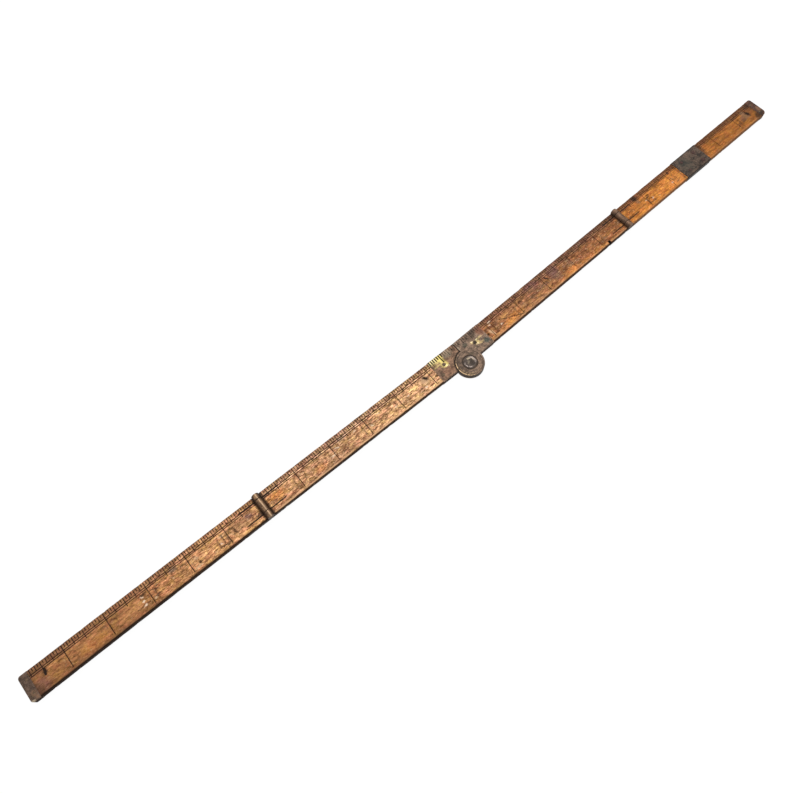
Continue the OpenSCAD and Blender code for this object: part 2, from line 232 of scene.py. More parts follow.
def paint_surface(colour, rough, height, strength, depth, others):
    """The end of a material: one surface with bumps so many millimetres deep."""
    bump = height.node("ShaderNodeBump", None, {
        "Height": height, "Strength": strength, "Distance": depth * MM})
    surface = colour.node("ShaderNodeBsdfPrincipled", None, {
        "Base Color": colour, "Roughness": rough, "Normal": bump, **others})
    surface.node("ShaderNodeOutputMaterial", None, {"Surface": surface})


print("a mid grey is", [round(value, 3) for value in paint(128, 128, 128)])

# %% [markdown]
# Plain studio light: a pale sky all round and one large soft lamp beyond the graduated edge,
# so that the brass barrels get a streak along their tops. Together they light a level surface
# so that its colour renders about as it is written. The floor looks white to the camera and to
# reflections through Light Path, and still takes the rule's faint shadow.

# %% Light the table
SKY_LEVEL = 0.6
LAMP_WATTS = 3.4
LAMP_LENGTH = 0.9
LAMP_WIDTH = 0.5
FLOOR_SIDE = 8.0
FLOOR_GAP = 0.05 - cad_bounds[0][2] / MM
FLOOR_GLOW = 0.9
FLOOR_GLOW_STRENGTH = 1.06


def seen_directly(start):
    """1 for the camera, mirrors and glass; 0 for light that bounces off the object."""
    seen = start.node("ShaderNodeLightPath", output="Is Camera Ray")
    for ray in ("Is Glossy Ray", "Is Transmission Ray"):
        seen = seen.math("MAXIMUM", start.node("ShaderNodeLightPath", output=ray))
    return seen


world = bpy.data.worlds.new("pale_studio")
world.use_nodes = True
world.node_tree.nodes.clear()
sky = Wire(world.node_tree)
sky_strength = SKY_LEVEL + seen_directly(sky) * (1 - SKY_LEVEL)
sky_light = sky.node("ShaderNodeBackground", None, {"Color": (1, 1, 1, 1), "Strength": sky_strength})
sky.node("ShaderNodeOutputWorld", None, {"Surface": sky_light})
bpy.context.scene.world = world
bpy.context.scene.view_settings.view_transform = "Standard"

lamp_data = bpy.data.lights.new("window", "AREA")
lamp_data.shape = "RECTANGLE"
lamp_data.size = LAMP_LENGTH
lamp_data.size_y = LAMP_WIDTH
lamp_data.energy = LAMP_WATTS
lamp = bpy.data.objects.new("window", lamp_data)
lamp_place = Vector((0.15, 0.42, 0.6))
lamp_turn = lamp_place.to_track_quat("Z", "Y").to_matrix().to_4x4()
lamp.matrix_world = Matrix.Translation(lamp_place) @ lamp_turn
bpy.context.scene.collection.objects.link(lamp)
print("sky", SKY_LEVEL, "and a lamp of", LAMP_WATTS, "watts")


# %% Lay the floor
def new_material(name):
    """An empty material and the start of its wires."""
    made = bpy.data.materials.new(name)
    made.use_nodes = True
    made.node_tree.nodes.clear()
    return made, Wire(made.node_tree)


def show(name, mesh):
    """An object at the origin for a mesh that holds its own place."""
    made = bpy.data.objects.new(name, mesh)
    bpy.context.scene.collection.objects.link(made)
    return made


floor_paint, start = new_material("white_table")
matt = start.node("ShaderNodeBsdfDiffuse", None, {"Color": (0.9, 0.9, 0.9, 1)})
glow = start.node("ShaderNodeEmission", None, {"Strength": FLOOR_GLOW_STRENGTH})
table = start.node("ShaderNodeMixShader", None, {0: seen_directly(start) * FLOOR_GLOW, 1: matt, 2: glow})
start.node("ShaderNodeOutputMaterial", None, {"Surface": table})

floor_mesh = bpy.data.meshes.new("table_top")
floor_corners = [(x * FLOOR_SIDE / 2, y * FLOOR_SIDE / 2, -FLOOR_GAP * MM)
                 for x, y in ((-1, -1), (1, -1), (1, 1), (-1, 1))]
floor_mesh.from_pydata(floor_corners, [], [(0, 1, 2, 3)])
floor_mesh.materials.append(floor_paint)
show("table_top", floor_mesh)
print("floor", FLOOR_SIDE, "m wide,", round(FLOOR_GAP, 2), "mm under the legs")

# %% [markdown]
# Every piece ends as one plain mesh at the origin. Small helpers do that: one builds a
# mesh from points in millimetres in a half's own frame, one takes a clean copy of a CAD node,
# whose mesh comes as loose triangles that have to be merged first, and one turns an object
# with live modifiers into the mesh that they make. A fourth, dress, shows a finished mesh, lets
# it ride on its body and hides the CAD nodes that it stands for.

# %% Helpers for meshes
MERGE_DISTANCE = 1e-6
SMOOTH_BELOW = math.radians(35)


def mesh_of(name, points, faces, half):
    """A mesh from points in millimetres; a mirrored half gets its faces turned back out."""
    mesh = bpy.data.meshes.new(name)
    mesh.from_pydata([half @ (Vector(point) * MM) for point in points], [], faces)
    if half.determinant() < 0:
        mesh.flip_normals()
    return mesh


def merged_copy(node):
    """A closed copy of a CAD node's mesh, with no material."""
    mesh = frame["nodes"][node].data.copy()
    shape = bmesh.new()
    shape.from_mesh(mesh)
    bmesh.ops.remove_doubles(shape, verts=shape.verts, dist=MERGE_DISTANCE)
    shape.to_mesh(mesh)
    shape.free()
    mesh.materials.clear()
    return mesh


def evaluated_mesh(obj):
    """The plain mesh that an object makes with its modifiers."""
    graph = bpy.context.evaluated_depsgraph_get()
    return bpy.data.meshes.new_from_object(obj.evaluated_get(graph), depsgraph=graph)


def settle(obj):
    """Gives an object the mesh that it makes, in place of its modifiers."""
    mesh = evaluated_mesh(obj)
    obj.modifiers.clear()
    obj.data = mesh
    return mesh


def discard(obj):
    """Throws an object away; its mesh stays for who still holds it."""
    bpy.data.objects.remove(obj)


def smooth(mesh, below=SMOOTH_BELOW):
    """Smooth shading that keeps the edges sharper than an angle."""
    mesh.polygons.foreach_set("use_smooth", [True] * len(mesh.polygons))
    mesh.set_sharp_from_angle(angle=below)


def dress(name, mesh, body, slot, nodes, *materials):
    """The finished piece: shown, on its body, standing for its CAD nodes."""
    for material in materials:
        mesh.materials.append(material)
    piece = show(name, mesh)
    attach(piece, body)
    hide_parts(*nodes)
    print(f"{name}: {len(mesh.vertices)} points, {len(mesh.polygons)} faces, on {body}")
    return piece


# %% [markdown]
# All finishes read the same coordinates: millimetres from the pivot along the leg (u), across
# it from the pivot's edge to the graduated edge (v), and up from the table (z). Object
# coordinates and one Mapping node give them, so a stain 12.7 mm from the pivot is written as
# such. A second, slightly shaken copy of them gives spots their ragged outlines, and top is 1
# on the upper face alone.

# %% Coordinates along a half
SHAKE = 2.4
ENDLESS = 1e6


class Place:
    """Coordinates of a half in millimetres, plain and shaken, for one material."""

    def __init__(self, start, half):
        turn = 0.0 if half is LEFT else -PAST_STRAIGHT
        flip = -1 if half is LEFT else 1
        raw = start.node("ShaderNodeTexCoord", output="Object")
        self.plain = raw.node("ShaderNodeMapping", {"vector_type": "POINT"}, {
            "Vector": raw, "Rotation": (0, 0, turn), "Scale": (flip / MM, 1 / MM, 1 / MM)})
        self.u, self.v, self.z = (
            self.plain.node("ShaderNodeSeparateXYZ", None, {0: self.plain}, axis) for axis in range(3))
        shake = self.noise((0.9, 0.9, 0.9), detail=3, output="Color")
        centred = shake.node("ShaderNodeVectorMath", {"operation": "SUBTRACT"},
                             {0: shake, 1: (0.5, 0.5, 0.5)})
        self.shaken = shake.node("ShaderNodeVectorMath", {"operation": "MULTIPLY_ADD"},
                                 {0: centred, 1: (SHAKE, SHAKE, SHAKE), 2: self.plain})
        self.top = self.z.fade(TOP - 0.9, TOP - 0.3)

    def noise(self, per_mm, detail=2, rough=0.5, output="Fac", offset=(0, 0, 0)):
        """Noise with so many waves to the millimetre along, across and up."""
        stretched = self.plain.node("ShaderNodeVectorMath", {"operation": "MULTIPLY_ADD"},
                                    {0: self.plain, 1: per_mm, 2: offset})
        values = {"Vector": stretched, "Scale": 1.0, "Detail": detail, "Roughness": rough}
        return stretched.node("ShaderNodeTexNoise", None, values, output)

    def spot(self, centre, size, turn=0, soft=0.5):
        """1 inside a ragged ellipse with half axes size, turned by so many degrees."""
        values = {"Vector": self.shaken, "Location": (centre[0], centre[1], 0),
                  "Rotation": (0, 0, math.radians(turn)), "Scale": (size[0], size[1], ENDLESS)}
        local = self.shaken.node("ShaderNodeMapping", {"vector_type": "TEXTURE"}, values)
        far = local.node("ShaderNodeVectorMath", {"operation": "LENGTH"}, {0: local}, "Value")
        return far.fade(1 + soft, 1 - soft)


print("spots are shaken by up to", SHAKE / 2, "mm")

# %% [markdown]
# Boxwood is pale yellow when it is new. Varnish, sweat and dust turn it orange to brown, and
# dirt stays longest where hands don't rub: in the cut marks, along the graduated edge and on
# the narrow sides. So the wood's colour is built in layers. A ramp along the leg sets the tone
# that each stretch has, fine noise drawn out along the grain gives streaks and short pores,
# and wider noise lifts or dulls patches. Then come the dirt along the scale, the named stains,
# the rubbed inner edge and the dark sides, whose colour is dirt and painted shade together, and
# last the dirt and painted shade round the hinge, in the blades' slots and in the notch. The cut
# marks use the same wood with ink laid over it, so where the ink has worn off, the wood shows.

# %% The tones of the wood
STEPS_IN_INCH = 16
STEP = INCH / STEPS_IN_INCH
LINE_REACHES = (3.5, 4.6)
KNUCKLE_SEAMS = (INNER_EDGE + 4.0, OUTER_EDGE - 3.35)
GROOVE_REACH = 2.9
BLADE_REACH = 14.0
NOTCH_AT = 132.5
NOTCH_HALF = 0.9
NOTCH_DEPTH = 2.4
STREAKS = 0.3
LIT = (1.78, 1.86, 2.0, 1.0)
SHADED = (0.28, 0.2, 0.13, 1.0)
YELLOWED = (1.0, 1.1, 0.78, 1.0)
REDDENED = (1.06, 0.86, 0.96, 1.0)
UNDERSIDE = paint(150, 100, 60)
UNDERSIDE_DULL = paint(112, 74, 46)
RUBBED = paint(236, 186, 140)
EDGE_DIRT = paint(96, 56, 38)
MARK_DIRT = paint(62, 36, 24)
INK = paint(30, 17, 10)
FLAW_COLOURS = {
    "burnt": paint(46, 28, 18),
    "dark": paint(84, 56, 38),
    "grey": paint(122, 98, 80),
    "plum": paint(118, 80, 76),
    "orange": paint(212, 136, 70),
    "pale": paint(232, 190, 148),
    "bare": paint(252, 222, 192),
}
TINTS = ("grey", "plum", "orange")
STAINS = ("burnt", "dark", "pale", "bare")
print(f"marks every {STEP:.3f} mm, long lines at {LINE_REACHES} mm from the edge")


# %% Coordinates and noises of a leg
class WornLeg(Place):
    """Coordinates on one leg, with its wear and the noises that its layers share."""

    def __init__(self, start, wood):
        super().__init__(start, wood["half"])
        self.wood = wood
        self.streaks = self.noise((0.07, 1.1, 1.1), detail=5, rough=0.65)
        self.patches = self.noise((0.11, 0.19, 0.19), detail=3, rough=0.6, offset=(3, 7, 1))
        self.mottle = self.noise((0.42, 1.25, 1.25), detail=4, rough=0.8, offset=(7, 3, 8))
        self.grain = self.noise((0.5, 4.2, 4.2), detail=3, rough=0.7)
        self.dirt = self.noise((0.25, 0.5, 0.5), detail=3, rough=0.65, offset=(1, 4, 9))
        self.lively = self.u.fade(*wood["lively"]) * 0.55 + 0.45
        pores = self.noise((0.42, 1.8, 1.8), detail=2, rough=0.5, offset=(11, 2, 5))
        self.pores = pores.fade(0.57, 0.65)
        chips = self.noise((0.45, 0.9, 0.9), detail=3, rough=0.6, offset=(5, 13, 2))
        off_scale = self.v.fade(OUTER_EDGE - 4.6, OUTER_EDGE - 6.0)
        self.chips = chips.fade(0.61, 0.66) * self.lively * self.top * off_scale


def ramp_along(place, tones):
    """A colour ramp along a half from (distance from the pivot, colour) pairs."""
    stops = [(distance / HALF_LENGTH, paint(*colour)) for distance, colour in tones]
    return place.u.node("ShaderNodeValToRGB", {"stops": stops}, {0: place.u / HALF_LENGTH})


def mark_halo(place, spacing, spread, core=0):
    """1 within a core of each mark of a spacing, falling to 0 a spread away."""
    away = place.u.node("ShaderNodeMath", {"operation": "PINGPONG"}, {0: place.u, 1: spacing / 2})
    return away.fade(spread, core)


def with_flaws(colour, leg, kinds, where=1.0):
    """The leg's flaws of some kinds, laid over the colour."""
    for kind, centre, size, turn, strength in leg.wood["flaws"]:
        if kind in kinds:
            mask = leg.spot(centre, size, turn) * (strength * where)
            colour = colour.covered(mask, FLAW_COLOURS[kind])
    return colour


print("flaws come in", len(FLAW_COLOURS), "colours")


# %% Layers of tone and grain
def aged_tone(leg):
    """The tone along a leg, with drifts, greyed patches, tints and slow shifts of hue."""
    wood = leg.wood
    drift = leg.noise((0.12, 0.5, 0.5), detail=3, rough=0.6, offset=(12, 5, 18))
    hue = leg.noise((0.22, 0.4, 0.4), detail=4, rough=0.7, offset=(6, 16, 2))
    strip = leg.v.fade(OUTER_EDGE - 6.2, OUTER_EDGE - 2.6)
    colour = blend_colours(strip, ramp_along(leg, wood["body"]), ramp_along(leg, wood["scale"]))
    colour = colour.tinted(leg.streaks.fade(0.5, 0.36) * STREAKS, SHADED)
    colour = colour.tinted(leg.patches.fade(0.5, 0.72) * 0.5 * wood["contrast"], LIT)
    colour = colour.tinted(drift.fade(0.5, 0.62) * wood["drift"], LIT)
    colour = colour.tinted(drift.fade(0.5, 0.38) * wood["drift"], SHADED)
    colour = colour.covered(leg.patches.fade(0.46, 0.3) * wood["grime"], FLAW_COLOURS["grey"])
    colour = with_flaws(colour, leg, TINTS)
    colour = colour.tinted(hue.fade(0.5, 0.62) * 0.7, YELLOWED)
    return colour.tinted(hue.fade(0.5, 0.38) * 0.7, REDDENED)


def with_grain(colour, leg):
    """Mottled grain with light dashes, a tone of its own by the inner edge, pores and chips."""
    wood = leg.wood
    swing = 0.1 / wood["contrast"]
    dashes = leg.noise((0.6, 2.5, 2.5), detail=2, rough=0.6, offset=(17, 9, 4))
    colour = colour.tinted(leg.mottle.fade(0.5, 0.5 + swing) * leg.lively, LIT)
    colour = colour.tinted(leg.mottle.fade(0.5, 0.5 - swing) * leg.lively * 0.85, SHADED)
    colour = colour.tinted(dashes.fade(0.58, 0.64) * leg.lively * 0.8, LIT)
    low = leg.v.fade(INNER_EDGE + 5.0, INNER_EDGE + 1.0) * (0.4 + leg.patches)
    colour = colour.tinted((low * leg.u.fade(*wood["low_from"])).capped(), wood["low"])
    colour = colour.tinted(leg.pores * leg.lively * wood["pores"], SHADED)
    return colour.covered(leg.chips * wood["chips"], FLAW_COLOURS["pale"])


print("streaks darken the wood by up to", STREAKS)


# %% Dirt along the scale
def with_scale_dirt(colour, leg):
    """Dirt at the graduated edge, beside marks and lines, and a rubbed strip between the lines."""
    wood = leg.wood
    edge_dirt = leg.v.fade(OUTER_EDGE - 3.2, OUTER_EDGE - 0.4) * (0.15 + leg.dirt * 0.6)
    colour = colour.covered(edge_dirt * wood["dirt"], EDGE_DIRT)
    halo = mark_halo(leg, STEP, 0.36) * leg.v.fade(OUTER_EDGE - 2.7, OUTER_EDGE - 2.2)
    halo = (halo + mark_halo(leg, INCH, 0.6) * 0.55).capped() * leg.top
    colour = colour.covered(halo * leg.dirt.fade(0.25, 0.6) * wood["halo"], MARK_DIRT)
    for away in LINE_REACHES:
        by_line = leg.v.near(OUTER_EDGE - away, 0.5, 0.25) * leg.top * (wood["halo"] - 0.35)
        colour = colour.covered(by_line * leg.dirt.fade(0.2, 0.5), MARK_DIRT)
    upper, lower = (OUTER_EDGE - away for away in LINE_REACHES)
    strip = leg.v.fade(lower + 0.1, lower + 0.3) * leg.v.fade(upper - 0.1, upper - 0.3)
    return colour.tinted(strip * leg.dirt.fade(0.35, 0.6) * leg.top * wood["rubbed"], LIT)


print("dirt lies beside marks", round(STEP, 2), "mm apart")


# %% Worn edges, narrow sides and dirty joints, with their painted shade
def narrow_sides(leg):
    """1 on a leg's two narrow sides, a little broken by the grain, for their dirt and painted shade."""
    spread = leg.wood["side_spread"]
    inner = leg.v.fade(INNER_EDGE + spread, INNER_EDGE + spread * 0.3)
    outer = leg.v.fade(OUTER_EDGE - 0.35, OUTER_EDGE - 0.05) * 0.8
    face = leg.v.fade(OUTER_EDGE - 1.2, OUTER_EDGE - 0.5) * leg.z.fade(TOP - 0.1, TOP - 0.5)
    sides = (inner + outer).math("MAXIMUM", face * leg.z.fade(0.1, 0.5) * 0.85)
    return (sides * (0.86 + leg.grain * 0.2)).capped()


def with_worn_edges_and_side_shade(colour, leg, sides):
    """The rubbed inner edge, the duller underside and the narrow sides, darkened by dirt and painted shade.
    """
    rub = leg.v.fade(INNER_EDGE + 1.9, INNER_EDGE + 0.9) * leg.dirt.fade(0.3, 0.55) * leg.top
    colour = colour.covered(rub * leg.wood["rubbed"], RUBBED)
    below = blend_colours(leg.patches.fade(0.3, 0.7) * 0.5, UNDERSIDE, UNDERSIDE_DULL)
    colour = colour.covered(leg.z.fade(0.5, 0.05) * 0.65, below)
    # Dirt and painted shade on the narrow sides, in one colour for each leg
    return colour.covered(sides, paint(*leg.wood["side"]))


def with_joint_dirt_and_shade(colour, leg):
    """Dirt and painted shade round the barrel and beside its upright blades, painted shade in the notch,
    and dirt by the tip cap.
    """
    kerf = leg.wood["kerf"]
    joint_dirt_and_shade = leg.u.near(HINGE, GROOVE_REACH + 1.2, GROOVE_REACH) * 0.85 * kerf
    along = leg.u.near(HINGE, BLADE_REACH + 0.6, BLADE_REACH - 2) * (0.4 + leg.dirt)
    for seam in KNUCKLE_SEAMS:
        joint_dirt_and_shade = joint_dirt_and_shade.math("MAXIMUM", leg.v.near(seam, 0.5, 0.2) * along * kerf)
    notch = leg.u.near(NOTCH_AT, NOTCH_HALF + 0.3, NOTCH_HALF) * leg.wood["notch"]
    joint_dirt_and_shade = joint_dirt_and_shade.math("MAXIMUM", notch * leg.v.fade(NOTCH_DEPTH + 0.3, NOTCH_DEPTH))
    # Painted shade, with dirt, round the barrel and in the blades' slots; painted shade on the notch's
    # walls
    colour = colour.covered(joint_dirt_and_shade.capped() * leg.z.fade(0.0, 0.8), INK)
    cap_edge = HALF_LENGTH - CAP_LENGTH
    by_cap = leg.u.fade(cap_edge - 3.5, cap_edge) * leg.dirt.fade(0.2, 0.7)
    return colour.covered(by_cap * 0.7, FLAW_COLOURS["burnt"])


print("dirt beside the blades reaches", BLADE_REACH, "mm from the hinge")


# %% Mix the wood
NUMERAL_INK = (0.0, 0.5, 0.54, 0.62)


def with_ink(colour, leg, least, most, bare, full):
    """Ink from least to most, as a noise goes from bare to full; with no least it wears off."""
    left = leg.noise((0.2, 0.35, 0.35), detail=3, rough=0.7, offset=(21, 8, 3))
    kept = least + left.fade(bare, full) * (most - least)
    if not least:
        kept = kept * leg.lively
        bared = left.fade(0.47, 0.38) * leg.lively * leg.wood["chips"] * 0.6
        colour = colour.covered(bared, FLAW_COLOURS["pale"])
    return colour.covered(kept, INK)


def boxwood(name, wood, ink=None):
    """The wood of one leg, or of its cuts when it is given their ink."""
    material, start = new_material(name)
    leg = WornLeg(start, wood)
    sides = narrow_sides(leg)
    colour = with_grain(aged_tone(leg), leg)
    colour = with_scale_dirt(colour, leg)
    colour = with_flaws(colour, leg, STAINS, leg.top)
    colour = with_worn_edges_and_side_shade(colour, leg, sides)
    colour = with_joint_dirt_and_shade(colour, leg)
    if ink:
        colour = with_ink(colour, leg, *ink)
    rough = 0.5 + leg.grain * 0.16 + leg.pores * 0.15 + sides * 0.25
    height = leg.streaks * 0.4 + leg.grain * 0.35 + leg.mottle * 0.6 - leg.pores * 0.8
    paint_surface(colour, rough, height - leg.chips * 0.4, 0.4, 0.1, {"Specular IOR Level": 0.14})
    print(f"{name}: {len(material.node_tree.nodes)} nodes")
    return material


# %% [markdown]
# The four legs have aged apart. The far left leg is the brownest, and turns paler towards its
# hinge. The next one has been rubbed to a pinkish tan, the third is browner with grey dirt, and
# the last one has kept golden varnish. Body and scale are tones along the leg, away from the
# graduated edge and beside it. Drift, pores, chips, dirt, halo, rubbed, contrast and grime say
# how strongly each kind of wear shows; kerf is the strength of the dirt and painted shade round
# the barrel and its blades, and notch that of the painted shade in the notch. Side is the colour
# of the narrow sides, their dirt and painted shade together, and side_spread how far it reaches
# in from the inner edge. Lively is the stretch over which the grain grows strong, and low_from
# the one over which the tone called low comes in at the inner edge. Ink is the least and most in
# a cut, and the values of a noise where it is bare and full. The flaws are stains, each with a
# kind, a place, half its length and breadth, a turn and a strength. Distances run from the pivot,
# because each half is drawn outwards from there.

